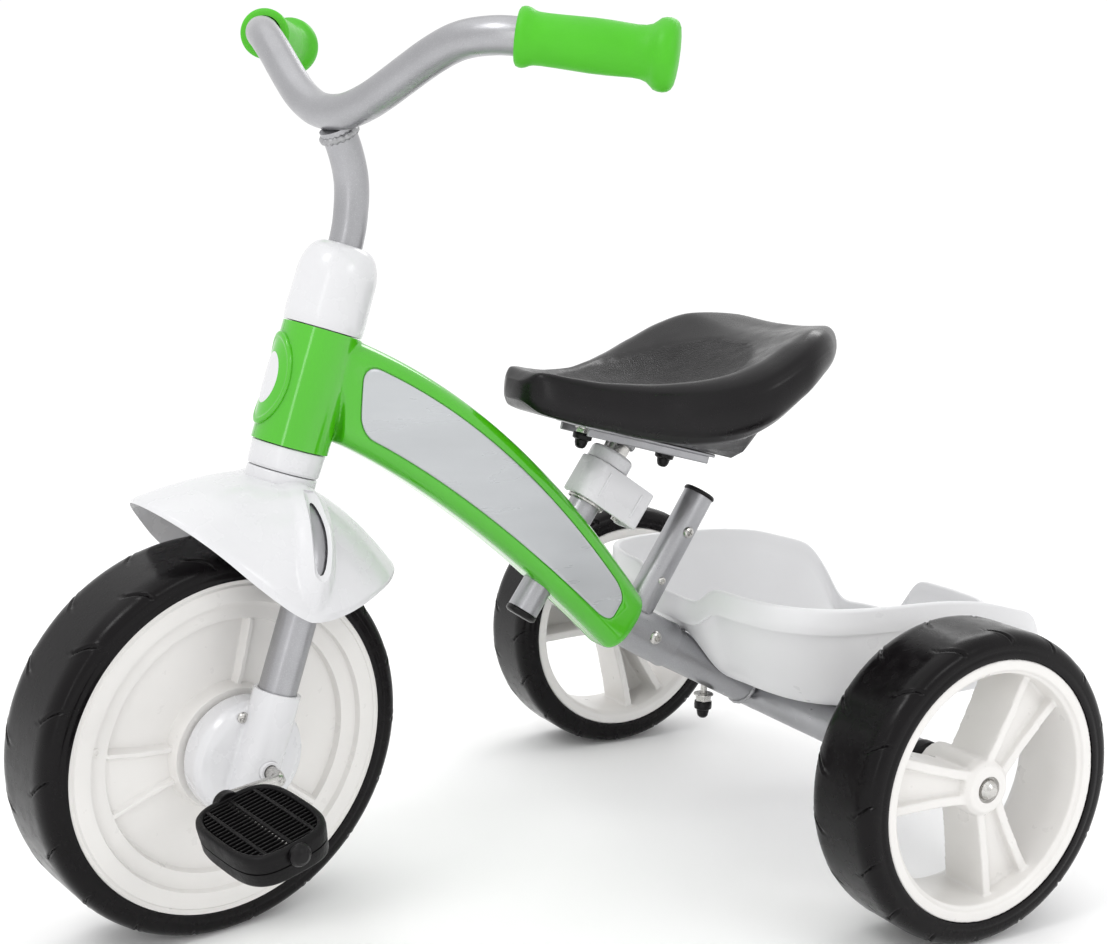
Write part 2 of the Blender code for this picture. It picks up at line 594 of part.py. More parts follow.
NOSE_X, SADDLE_LEN = 0.2220, 0.2460
sad_t = [0, 0.015, 0.06, 0.13, 0.2, 0.29, 0.38, 0.47, 0.56, 0.65, 0.74, 0.82, 0.89, 0.945, 0.98, 1.0]
verts, rings = [], []
for t in sad_t:
    x = NOSE_X - SADDLE_LEN * t
    b, zr, zl = saddle_half(t), saddle_rim(t), saddle_low(t)
    tail = max(0.0, (t - 0.84) / 0.16)
    dish = (0.005 * min(1, t / 0.2) + 0.011 * sin(pi * min(1, max(0, (t - 0.12) / 0.80))) ** 1.3) * (1 - tail * tail * (3 - 2 * tail))
    zc = zr + eased(t, (0, 0.04, 0.75, 0.92, 1.0), (0.0015, 0.0050, 0.0055, 0.0025, 0.0))
    ze = zr - min(0.0095, 0.40 * (zr - zl))
    zk = plate_mid.z + (x - plate_mid.x) * tan(radians(PLATE_DEG)) + 0.0013 / cos(radians(PLATE_DEG)) + GAP
    away = max(0.0, x - 0.186, 0.056 - x)
    zk = zk if away == 0 else (min(zl, zk + away * 1.6) if t < 0.98 else zl)
    kw = min(0.026, 0.6 * b)
    sec = [(0, zc - dish), (0.28 * b, zc - dish * 0.90), (0.54 * b, zc - dish * 0.52), (0.76 * b, zc - 0.0008), (0.86 * b, zc - 0.0014),
           (0.955 * b, zc - 0.42 * (zc - ze)), (1.0 * b, ze), (0.995 * b, ze - 0.52 * (ze - zl)), (0.955 * b, ze - 0.80 * (ze - zl)),
           (0.85 * b, zl + 0.0005), (kw, zk), (0, zk)]
    full = sec + [(-y, z) for y, z in sec[-2:0:-1]]
    rings.append(list(range(len(verts), len(verts) + len(full))))
    verts += [(x, y, z) for y, z in full]
n = len(rings[0])
faces = []
for a, b in zip(rings[:-1], rings[1:]):
    faces += [(a[k], a[(k + 1) % n], b[(k + 1) % n], b[k]) for k in range(n)]
faces += [tuple(rings[0][::-1]), tuple(rings[-1])]
saddle = solid("saddle", verts, faces, BLACK, frame, sharp=60, tri=True)

# saddle bolts: stud, washer and nut hanging from the plate, each closed by an acorn cap
for name, px in (("front", 0.0380), ("rear", -0.0330)):
    hole = cutter(lathe("cut_bolt_" + name, rod(0.0030, -0.02, 0.0075), None, plate_axis, 10, loc=(px, 0, 0)))
    boolean(plate, hole)
    boolean(saddle, hole)
    lathe("saddle_bolt_" + name, [(0, -0.0110), (0.0025, -0.0110), (0.0025, -0.0062), (0.0052, -0.0062), (0.0052, -0.0024), (0.0062, -0.0024),
                                  (0.0062, -0.0015), (0.0026, -0.0015), (0.0026, 0.0070), (0, 0.0070)], STEEL, plate_axis, 10,
          loc=(px, 0, 0))
    lathe("saddle_bolt_cap_" + name, [(0.0055, -0.0028), (0.0067, -0.0028), (0.0067, -0.0085), (0.0045, -0.0100), (0.0042, -0.0135),
                                      (0.0030, -0.0155), (0, -0.0160), (0, -0.0113), (0.0028, -0.0113), (0.0028, -0.0065), (0.0055, -0.0065)],
          BLACK, plate_axis, 10, loc=(px, 0, 0))

# ---------------------------------------------------------------- basket
BX_FRONT, BX_REAR = 0.0800, -0.1880
BY = 0.1350
FLOOR_Z = 0.1182
WALL_B = 0.0024


def plan(a, x0, x1, hy, corner):
    """Point of a rounded rectangle at polar parameter a (0 = front middle)."""
    cx, hx_ = (x0 + x1) / 2, (x0 - x1) / 2
    p = 2 / corner
    c, s = cos(a), sin(a)
    return (cx + hx_ * abs(c) ** p * (1 if c >= 0 else -1), hy * abs(s) ** p * (1 if s >= 0 else -1))


def basket_rim(x, y):
    """Rim height: high sides and front corners, low rear wall with a raised middle, and a dip at
    the front for the frame."""
    side = eased(-x, (-0.085, 0.040, 0.080, 0.120, 0.142, 0.158, 0.172), (0.1990, 0.1980, 0.1950, 0.1860, 0.1790, 0.1580, 0.1300))
    if x < -0.150:
        tab = eased(abs(y), (0.0, 0.034, 0.040, 0.060, 0.066), (0.1640, 0.1630, 0.1600, 0.1330, 0.1300))
        side = max(side, tab) if x < -0.17 else side
    if x > 0.05:
        side = eased(abs(y), (0.0, 0.022, 0.030, 0.045, 0.055), (0.1840, 0.1840, 0.1860, 0.1970, 0.1990))
    return side


def angles():
    out = []
    n = 32
    for k in range(n):
        a = 2 * pi * k / n
        out.append(a)
    return out


def basket_rings(inner):
    rings = []
    o = WALL_B if inner else 0.0
    levels = (0.0, 0.16, 0.45, 0.78) if not inner else (0.0, 0.16, 0.45, 0.78)
    for lv in levels:
        row = []
        for a in angles():
            xt, yt = plan(a, BX_FRONT, BX_REAR, BY, 4.2)
            xb, yb = plan(a, 0.0300, -0.1650, 0.1080, 3.6)
            top = basket_rim(xt, yt) - 0.018
            g = lv ** 0.62 if lv > 0 else 0.0
            x = xb + (xt - xb) * g * 0.96
            y = yb + (yt - yb) * g * 0.96
            z = FLOOR_Z + (top - FLOOR_Z) * lv / 0.78
            row.append((x, y, z, a))
        rings.append(row)
    return rings


def inward(p, d):
    """Offset a plan point towards the middle of the tray."""
    cx = (0.03 - 0.165) / 2
    v = Vector((p[0] - cx, p[1] * 0.9))
    L = v.length
    v = v * ((L - d) / L)
    return (cx + v.x, p[1] * (L - d) / L)


bverts, brings = [], []
def add_ring(row):
    brings.append(list(range(len(bverts), len(bverts) + len(row))))
    bverts.extend(row)


outer = basket_rings(False)
for row in outer:
    add_ring([(x, y, z) for x, y, z, a in row])
lip_low, lip_top, in_top, in_low = [], [], [], []
for a in angles():
    x, y = plan(a, BX_FRONT, BX_REAR, BY, 4.2)
    z = basket_rim(x, y)
    xo, yo = plan(a, BX_FRONT + 0.0035, BX_REAR - 0.0035, BY + 0.0035, 4.2)
    lip_low.append((xo, yo, z - 0.018))
    lip_top.append((xo, yo, z))
    xi, yi = inward((x, y), WALL_B * 0.7)
    in_top.append((xi, yi, z))
for row in (lip_low, lip_top, in_top):
    add_ring(row)
for row in outer[::-1]:
    r = []
    for x, y, z, a in row:
        xi, yi = inward((x, y), WALL_B * 1.25)
        r.append((xi, yi, z + (WALL_B if z < FLOOR_Z + 0.0001 else WALL_B * 0.5)))
    add_ring(r)
n = len(brings[0])
bfaces = []
for a, b in zip(brings[:-1], brings[1:]):
    bfaces += [(a[k], a[(k + 1) % n], b[(k + 1) % n], b[k]) for k in range(n)]
bfaces += [tuple(brings[0][::-1]), tuple(brings[-1])]
basket = solid("basket", bverts, bfaces, WHITE, frame, sharp=40, tri=True)
# slot in the front of the tray for the spine
boolean(basket, cutter(sweep("cut_basket_spine", [Vector((0.120, 0, 0.1640)), Vector((0.095, 0, 0.1505)), Vector((0.060, 0, 0.1318)),
                                                  Vector((0.0175, 0, 0.1098)), Vector((-0.004, 0, 0.0987))], SPINE_R + 0.0010, None, frame, 16)))
boolean(basket, cutter(lathe_y("cut_basket_axle", rod(AXLE_TUBE_R + 0.0006, -0.2, 0.2), None, frame, 16, loc=(0, 0, 0.1015))))
# screw that holds the tray to the spine, and its nut
BOLT_X = 0.0520
hole = cutter(lathe("cut_basket_bolt", rod(0.0028, 0.085, 0.175), None, frame, 10, loc=(BOLT_X, 0, 0)))
boolean(spine, hole)
boss = cutter(lathe("form_basket_boss", rod(0.0085, 0.1490, 0.1680), None, frame, 16, loc=(BOLT_X, 0, 0)))
boolean(basket, boss, "UNION")
boolean(basket, hole)
lathe("basket_bolt", [(0, 0.0930), (0.0024, 0.0930), (0.0024, 0.1683), (0.0060, 0.1683), (0.0060, 0.1700), (0.0040, 0.1718), (0, 0.1724)],
      STEEL, frame, 10, loc=(BOLT_X, 0, 0))
lathe("basket_nut", [(0.0028, 0.1052), (0.0066, 0.1052), (0.0066, 0.1038), (0.0054, 0.1038), (0.0054, 0.0992), (0.0028, 0.0992)],
      STEEL, frame, 10, loc=(BOLT_X, 0, 0))

# ---------------------------------------------------------------- rear wheels
SPOKE_DEG = (52.0, 172.0, 292.0)     # seen from the wheel's outer side, from the rear horizontal


def rim_spoke(name, ang, r0, r1, w0, w1, y0, y1, parent):
    """A flared spoke between hub and rim, in the XZ plane, from y0 to y1."""
    d, t = (cos(ang), sin(ang)), (-sin(ang), cos(ang))
    out = []
    for r, w in ((r0, w0), ((r0 + r1) / 2, (w0 + w1) * 0.42), (r1, w1)):
        out.append((r, w))
    pts = [(r * d[0] + w * t[0], r * d[1] + w * t[1]) for r, w in out]
    pts += [(r * d[0] - w * t[0], r * d[1] - w * t[1]) for r, w in out[::-1]]
    v, f = extruded(pts, y0, y1)
    return cutter(solid(name, v, f, None, parent))


for side, sg in (("left", 1), ("right", -1)):
    hub = empty("rear_wheel_axis_" + side, frame, (0, 0, AXLE_Z))
    yo, yi = REAR_OUT, REAR_IN
    W = yo - yi
    # barrel with a flange at each face
    prof = [(0.0795, yi), (REAR_RIM_R, yi), (REAR_RIM_R, yo), (0.0795, yo - 0.0012), (0.0765, yo - 0.0070), (0.0765, yi + 0.0070)]
    rim = lathe_y("rear_rim_" + side, [(r, y) for r, y in prof], RIMWH, hub, 32)
    hubv = [(0.0043, yi + 0.004), (0.0170, yi + 0.004), (0.0190, yi + 0.008), (0.0190, yo - 0.009), (0.0160, yo - 0.0048), (0.0085, yo - 0.0045),
            (0.0085, yo - 0.0080), (0.0043, yo - 0.0080)]
    form = cutter(lathe_y("form_rear_hub_" + side, hubv, None, hub, 16))
    forms = [form]
    for i, sdeg in enumerate(SPOKE_DEG):
        ang = pi - radians(sdeg)      # the rear horizontal is -X
        forms.append(rim_spoke("form_rear_spoke_%s_%d" % (side, i), ang, 0.0120, 0.0790, 0.0095, 0.0200, yi + 0.014, yo - 0.012, hub))
    for fm in forms:
        boolean(rim, fm, "UNION")
    if sg < 0:
        for o in [rim] + forms:
            o.data.transform(Matrix.Diagonal((1, -1, 1, 1)))
            o.data.flip_normals()
    th = REAR_RIM_R + GAP
    tprof = [(th, yi - 0.0003), (0.0935, yi - 0.0003), (0.1005, yi + 0.0050), (REAR_R, yi + 0.0165), (REAR_R, yo - 0.0165), (0.1005, yo - 0.0050),
             (0.0935, yo + 0.0003), (th, yo + 0.0003)]
    tyre = lathe_y("rear_tyre_" + side, [(r, sg * y) for r, y in tprof], TYRE, hub, 32, sharp=50)
    nut = [(0, yo - 0.0053), (0.0066, yo - 0.0053), (0.0066, yo - 0.0040), (0.0058, yo - 0.0020), (0.0035, yo - 0.0002), (0, yo + 0.0003)]
    lathe_y("axle_nut_" + side, [(r, sg * y) for r, y in nut], STEEL, frame, 12, loc=(0, 0, AXLE_Z))

# ---------------------------------------------------------------- steering group
steerer = lathe("steerer_tube", ring(0.0090, STEERER_R, 0.1435, 0.3120), SILVER, steer, 18)
lathe("lower_collar", [(0.0114, 0.1735), (0.0228, 0.1735), (0.0232, 0.1755), (0.0236, 0.1890), (0.0208, 0.1890), (0.0208, 0.1785), (0.0114, 0.1785)],
      WHITE, steer, 22)
lathe("steering_cap", [(0.0248, 0.2664), (0.0258, 0.2760), (0.0258, 0.2990), (0.0232, 0.3110), (0.0160, 0.3190), (0.0115, 0.3205), (0.0115, 0.3150),
                       (0.0205, 0.3075), (0.0232, 0.2985), (0.0226, 0.2664)], WHITE, steer, 22)

# stem: curves forward from the steerer to the handlebar
stem_path = smooth_path([(0, 0, 0.2300), (0, 0, 0.3122), (0, 0, 0.3124), (0, 0, 0.3200), (0.0024, 0, 0.3400), (0.0085, 0, 0.3600), (0.0190, 0, 0.3765),
                         (0.0275, 0, 0.3845)], 1)
stem_r = [0.0086 if p.z < 0.3123 else STEM_R for p in stem_path]
BAR = [(0.036, 0.000, 0.3950), (0.036, 0.018, 0.3970), (0.036, 0.040, 0.4052), (0.036, 0.062, 0.4180), (0.0355, 0.085, 0.4322),
       (0.0335, 0.105, 0.4425), (0.0275, 0.1225, 0.4480), (0.0185, 0.1365, 0.4512), (-0.0070, 0.16324, 0.45615), (-0.0330, 0.1905, 0.4612)]
left = smooth_path(BAR, 1)
bar_path = [Vector((p.x, -p.y, p.z)) for p in left[:0:-1]] + left
bar_tube = sweep("handlebar_tube", bar_path, BAR_R, SILVER, steer, 10)
stem = sweep("handlebar_stem", stem_path, stem_r, SILVER, steer, 14)
boolean(stem, cutter(sweep("cut_stem_top", bar_path, BAR_R + GAP, None, steer, 10)))

# grips: sleeves with a collar at the inner end and a mushroom flange at the outer end
g0, g1 = Vector(BAR[7]), Vector(BAR[9])
gd = (g1 - g0).normalized()
for side, sg in (("left", 1), ("right", -1)):
    d = Vector((gd.x, sg * gd.y, gd.z))
    q = d.to_track_quat("Z", "Y").to_euler()
    start = Vector((g0.x, sg * g0.y, g0.z)) + d * 0.0005
    L = (g1 - g0).length
    prof = [(BAR_R + 0.0009, 0.0), (0.0155, 0.0), (0.0168, 0.0035), (0.0146, 0.0110), (0.0152, 0.0450), (0.0146, 0.0680), (0.0198, 0.0790), (0.0190, 0.0870),
            (0.0110, 0.0910), (0, 0.0914), (0, L + 0.0009), (BAR_R + 0.0009, L + 0.0009)]
    g = lathe("grip_" + side, prof, GRIP, steer, 14, loc=start, rot=q)
    # the bar bends just inside the collar, so the sleeve's mouth is relieved to follow it
    boolean(g, cutter(sweep("cut_grip_" + side, [Vector((p.x, sg * p.y, p.z)) for p in left[-4:]], BAR_R + 0.0009, None, steer, 10)))

# fork: two bent legs from the foot of the steerer
LEG = [(0, 0.0132, 0.1555), (0, 0.0230, 0.1545), (0, 0.0340, 0.1490), (0, 0.0450, 0.1405), (0, 0.0530, 0.1290), (0, 0.0575, 0.1160), (0, LEG_Y, 0.1030),
       (0, LEG_Y, 0.0700), (0, LEG_Y, 0.0200)]


def leg_path(sg, extra=None):
    pts = [(x, sg * y, z) for x, y, z in LEG]
    return smooth_path(pts, 1)


for side, sg in (("left", 1), ("right", -1)):
    sweep("fork_leg_" + side, leg_path(sg), LEG_R, SILVER, steer, 12)

# mudguard: leaf-shaped hood round a collar, swollen over the fork legs, with a slot in each swelling
HOOD_WALL = 0.0024
COLLAR_IN, COLLAR_OUT = 0.0184, 0.0228
hood_angles = [0, 15, 30, 44, 56, 66, 74, 82, 90]
hood_angles = hood_angles + [180 - a for a in hood_angles[-2::-1]]
hood_angles = hood_angles + [360 - a for a in hood_angles[-2:0:-1]]
leg_line = smooth_path([(0, -0.001, 0.1555)] + LEG, 4)


def leg_top(x, y, r):
    """Height of the top of a tube of radius r that runs along the fork leg, or None beside it."""
    q = r * r - x * x
    if q <= 0:
        return -1.0
    best = -1.0
    for p in leg_line:
        d = q - (abs(y) - p.y) ** 2
        if d >= 0:
            best = max(best, p.z + sqrt(d))
    return best


def hood_top(a, u):
    c = abs(cos(a))
    fwd = cos(a) > 0
    ze = 0.0985 + ((0.1365 if fwd else 0.1325) - 0.0985) * c ** 1.45
    bulge = (0.0030 + 0.0085 * (1 - c) ** 0.8) * max(0.0, sin(pi * u)) ** 0.9
    return 0.1660 + (ze - 0.1660) * (u ** (1.05 + 0.45 * (1 - c))) + bulge


def hood_radius(a, u):
    c = abs(cos(a))
    e = 0.0748 + ((0.0895 if cos(a) > 0 else 0.0935) - 0.0748) * c ** 4
    return COLLAR_OUT + (e - COLLAR_OUT) * u


us = (0.0, 0.22, 0.46, 0.68, 0.84, 0.935, 0.975, 1.0)
outer_rows, inner_rows = [], []
for u in us:
    ro, ri = [], []
    for deg in hood_angles:
        a = radians(deg)
        r = hood_radius(a, u)
        x, y = r * cos(a), r * sin(a)
        z = hood_top(a, u)
        slope = (hood_top(a, min(1, u + 0.02)) - hood_top(a, max(0, u - 0.02))) / (hood_radius(a, min(1, u + 0.02)) - hood_radius(a, max(0, u - 0.02)))
        t = HOOD_WALL * min(2.2, sqrt(1 + slope * slope))
        zo = max(z, leg_top(x, y, LEG_R + 0.0038))
        zi = max(z - t, leg_top(x, y, LEG_R + 0.0016))
        zi = min(zi, zo - 0.0014)
        ro.append((x, y, zo))
        ri.append((x, y, zi))
    outer_rows.append(ro)
    inner_rows.append(ri)
neck = []
for deg in hood_angles:
    a = radians(deg)
    x, y = COLLAR_IN * cos(a), COLLAR_IN * sin(a)
    neck.append((x, y, min(0.1695, max(0.1610, leg_top(x, y, LEG_R + 0.0016)))))
rows = [neck, [(COLLAR_IN * cos(radians(d)), COLLAR_IN * sin(radians(d)), 0.1730) for d in hood_angles],
        [(COLLAR_OUT * cos(radians(d)), COLLAR_OUT * sin(radians(d)), 0.1730) for d in hood_angles]] + outer_rows + inner_rows[::-1]
verts, rings = [], []
for row in rows:
    rings.append(list(range(len(verts), len(verts) + len(row))))
    verts += row
faces = []
m, n = len(rings), len(hood_angles)
for i in range(m):
    a, b = rings[i], rings[(i + 1) % m]
    faces += [(a[k], a[(k + 1) % n], b[(k + 1) % n], b[k]) for k in range(n)]
hood = solid("mudguard", verts, faces, WHITE, steer, sharp=50, tri=True)
for side, sg in (("left", 1), ("right", -1)):
    boolean(hood, cutter(sweep("cut_hood_slot_" + side, [Vector((0.0004, sg * 0.0400, 0.1740)), Vector((0.0003, sg * 0.0570, 0.1585)),
                                                         Vector((0.0001, sg * 0.0700, 0.1410)), Vector((-0.0002, sg * 0.0790, 0.1230))],
                               0.0092, None, steer, 10)))

# hub housings: a round cover and a socket that takes the foot of each fork leg
for side, sg in (("left", 1), ("right", -1)):
    pr = [(0.0046, 0.0335), (0.0345, 0.0335), (0.0375, 0.0350), (0.0375, 0.0480), (0.0340, 0.0535), (0.0046, 0.0560)]
    hs = lathe_y("hub_housing_" + side, [(r, sg * y) for r, y in pr], WHITE, steer, 22)
    arm = cutter(lathe("form_housing_arm_" + side, [(0, -0.0220), (0.0110, -0.0220), (0.0142, -0.0170), (0.0146, 0.0200), (0.0146, 0.0465), (0.0140, 0.0475),
                                                     (0, 0.0475)], None, steer, 14, loc=(0, sg * LEG_Y, 0)))
    boolean(hs, arm, "UNION")
    boolean(hs, cutter(lathe("cut_housing_leg_" + side, rod(LEG_R + GAP, 0.0195, 0.0600), None, steer, 12, loc=(0, sg * LEG_Y, 0))))
    boolean(hs, cutter(lathe_y("cut_housing_axle_" + side, rod(0.0067, 0.030, 0.090) if sg > 0 else [(r, -y) for r, y in rod(0.0067, 0.030, 0.090)],
                               None, steer, 16)))
    lathe_y("axle_bush_" + side, [(r, sg * y) for r, y in ring(0.0043, 0.0064, 0.0338, 0.0745)], BLACK, steer, 16)

# ---------------------------------------------------------------- front wheel
w = FRONT_HALF_W
fprof = []
half = [(0.0043, w + 0.0005), (0.0395, w + 0.0005), (0.0415, 0.0200), (0.0815, 0.0200), (0.0825, 0.0255), (0.0930, 0.0255), (0.0945, w), (FRONT_RIM_R, w)]
groove = [(FRONT_RIM_R, 0.0170), (0.0450, 0.0155)]
fprof = half + groove + [(r, -y) for r, y in groove[::-1]] + [(r, -y) for r, y in half[::-1]]
rim = lathe_y("front_rim", fprof, RIMWH, front_wheel, 32)
for i, adeg in enumerate((97.0, 217.0, 337.0)):
    sp = rim_spoke("form_front_spoke_%d" % i, radians(adeg), 0.0360, 0.0830, 0.0130, 0.0200, -0.0262, 0.0262, front_wheel)
    boolean(rim, sp, "UNION")
tr = FRONT_RIM_R + GAP
th = [(tr, w + 0.0008), (0.1145, w + 0.0008), (0.1215, w - 0.0042), (FRONT_R, w - 0.0165)]
tprof = th + [(r, -y) for r, y in th[::-1]]
lathe_y("front_tyre", tprof, TYRE, front_wheel, 32, sharp=50)

# crank: one bent rod, axle, arms and pedal spindles
ca = radians(CRANK_DEG)
cx, cz = CRANK_ARM * cos(ca), CRANK_ARM * sin(ca)
crank_pts = [(-cx, -(PEDAL_Y1 + 0.0045), -cz), (-cx, -0.0870, -cz), (0, -0.0870, 0), (0, 0.0870, 0), (cx, 0.0870, cz), (cx, PEDAL_Y1 + 0.0045, cz)]
sweep("crank_rod", rounded_path(crank_pts, 0.0065, 4), CRANK_R, STEEL, front_wheel, 10)


def pedal_mesh(sg):
    """Pedal block with rounded plan corners, bowed long edges and a shallow tray in its top."""
    y0, y1 = PEDAL_Y0, PEDAL_Y1
    hx_, top, bot = 0.0290, 0.0058, -0.0142
    ymid, hy = (y0 + y1) / 2, (y1 - y0) / 2
    def loop(shrink, z):
        out = []
        for k in range(24):
            a = 2 * pi * k / 24
            c, s = cos(a), sin(a)
            p = 2 / 3.4
            x = (hx_ - shrink) * abs(c) ** p * (1 if c >= 0 else -1)
            y = (hy - shrink) * abs(s) ** p * (1 if s >= 0 else -1)
            out.append((x, sg * (ymid + y), z))
        return out
    rows = [loop(0.0030, bot), loop(0.0006, bot + 0.0020), loop(0.0, bot + 0.006), loop(0.0, top - 0.0016), loop(0.0012, top), loop(0.0034, top),
            loop(0.0040, top - 0.0014)]
    verts, rings = [], []
    for r in rows:
        rings.append(list(range(len(verts), len(verts) + len(r))))
        verts += r
    faces = []
    n_ = len(rings[0])
    for a, b in zip(rings[:-1], rings[1:]):
        faces += [(a[k], a[(k + 1) % n_], b[(k + 1) % n_], b[k]) for k in range(n_)]
    faces += [tuple(rings[0][::-1]), tuple(rings[-1])]
    return verts, faces


for side, sg in (("left", 1), ("right", -1)):
    ax = empty("pedal_axis_" + side, front_wheel, (sg * cx, 0, sg * cz), (0, radians(PEDAL_TILT), 0))
    v, f = pedal_mesh(sg)
    ped = solid("pedal_" + side, v, f, BLACK, ax, sharp=40)
    boolean(ped, cutter(lathe_y("cut_pedal_" + side, [(r, sg * y) for r, y in rod(CRANK_R + GAP, 0.08, 0.19)], None, ax, 12)))
    lathe_y("pedal_nut_" + side, [(r, sg * y) for r, y in [(CRANK_R + 0.0006, PEDAL_Y1 + 0.0004), (0.0064, PEDAL_Y1 + 0.0004), (0.0064, PEDAL_Y1 + 0.0030), (0.0050, PEDAL_Y1 + 0.0052),
                                                           (0.0030, PEDAL_Y1 + 0.0062), (0, PEDAL_Y1 + 0.0064), (0, PEDAL_Y1 + 0.0049), (CRANK_R + 0.0006, PEDAL_Y1 + 0.0049)]],
            STEEL, front_wheel, 10, loc=(sg * cx, 0, sg * cz))
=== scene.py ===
import bpy
import bmesh
from math import sin, cos, tan, pi, radians, sqrt, hypot, atan2, exp
from mathutils import Vector, Matrix, noise
from bisect import bisect_right


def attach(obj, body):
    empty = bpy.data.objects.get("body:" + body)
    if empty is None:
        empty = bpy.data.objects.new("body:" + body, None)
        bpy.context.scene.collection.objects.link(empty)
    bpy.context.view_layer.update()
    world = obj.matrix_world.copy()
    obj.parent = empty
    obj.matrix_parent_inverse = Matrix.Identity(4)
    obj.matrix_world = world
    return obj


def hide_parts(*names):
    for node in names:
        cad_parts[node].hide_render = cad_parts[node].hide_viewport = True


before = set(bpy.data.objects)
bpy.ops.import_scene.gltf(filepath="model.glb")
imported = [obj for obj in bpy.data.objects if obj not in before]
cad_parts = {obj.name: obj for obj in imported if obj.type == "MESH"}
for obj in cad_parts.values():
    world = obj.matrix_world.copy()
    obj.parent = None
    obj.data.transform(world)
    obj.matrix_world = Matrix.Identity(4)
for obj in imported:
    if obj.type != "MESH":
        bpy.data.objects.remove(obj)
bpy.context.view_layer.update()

# ------------------------------------------------------------------ the design's own numbers, metres
ORIGIN_X = 0.1832
LIFT = 0.00024
FR, FRIM, FHW = 0.125, 0.1084, 0.0305
RR, RRIM, RIN, ROUT = 0.104, 0.0868, 0.1916, 0.2498
TILT, STEER = radians(16.0), radians(11.6)

F = Matrix.Translation((-ORIGIN_X, 0, 0))
HEAD = F @ Matrix.Translation((0.433, 0, FR + LIFT)) @ Matrix.Rotation(-TILT, 4, "Y")
S = HEAD @ Matrix.Rotation(STEER, 4, "Z")
SEAT_LOW = Vector((0.2097, 0, 0.1830))
SEAT_DIR = Vector((-0.5440, 0, 0.8391)).normalized()
SEAT = F @ Matrix.Translation(SEAT_LOW) @ Matrix.Rotation(atan2(SEAT_DIR.x, SEAT_DIR.z), 4, "Y")
PUSH_DIR = Vector((0.0637 - 0.1100, 0, 0.2593 - 0.1829)).normalized()
PUSH = F @ Matrix.Translation((0.1105, 0, 0.1825)) @ Matrix.Rotation(atan2(PUSH_DIR.x, PUSH_DIR.z), 4, "Y")
PLATE_DEG = 13.5
PLATE = F @ Matrix.Translation((0.1270, 0, 0.3030)) @ Matrix.Rotation(-radians(PLATE_DEG), 4, "Y")
LEVER = SEAT @ Matrix.Translation((-0.0300, -0.0030, 0))


# ------------------------------------------------------------------ materials
def nodes_of(m):
    m.use_nodes = True
    return m.node_tree.nodes, m.node_tree.links


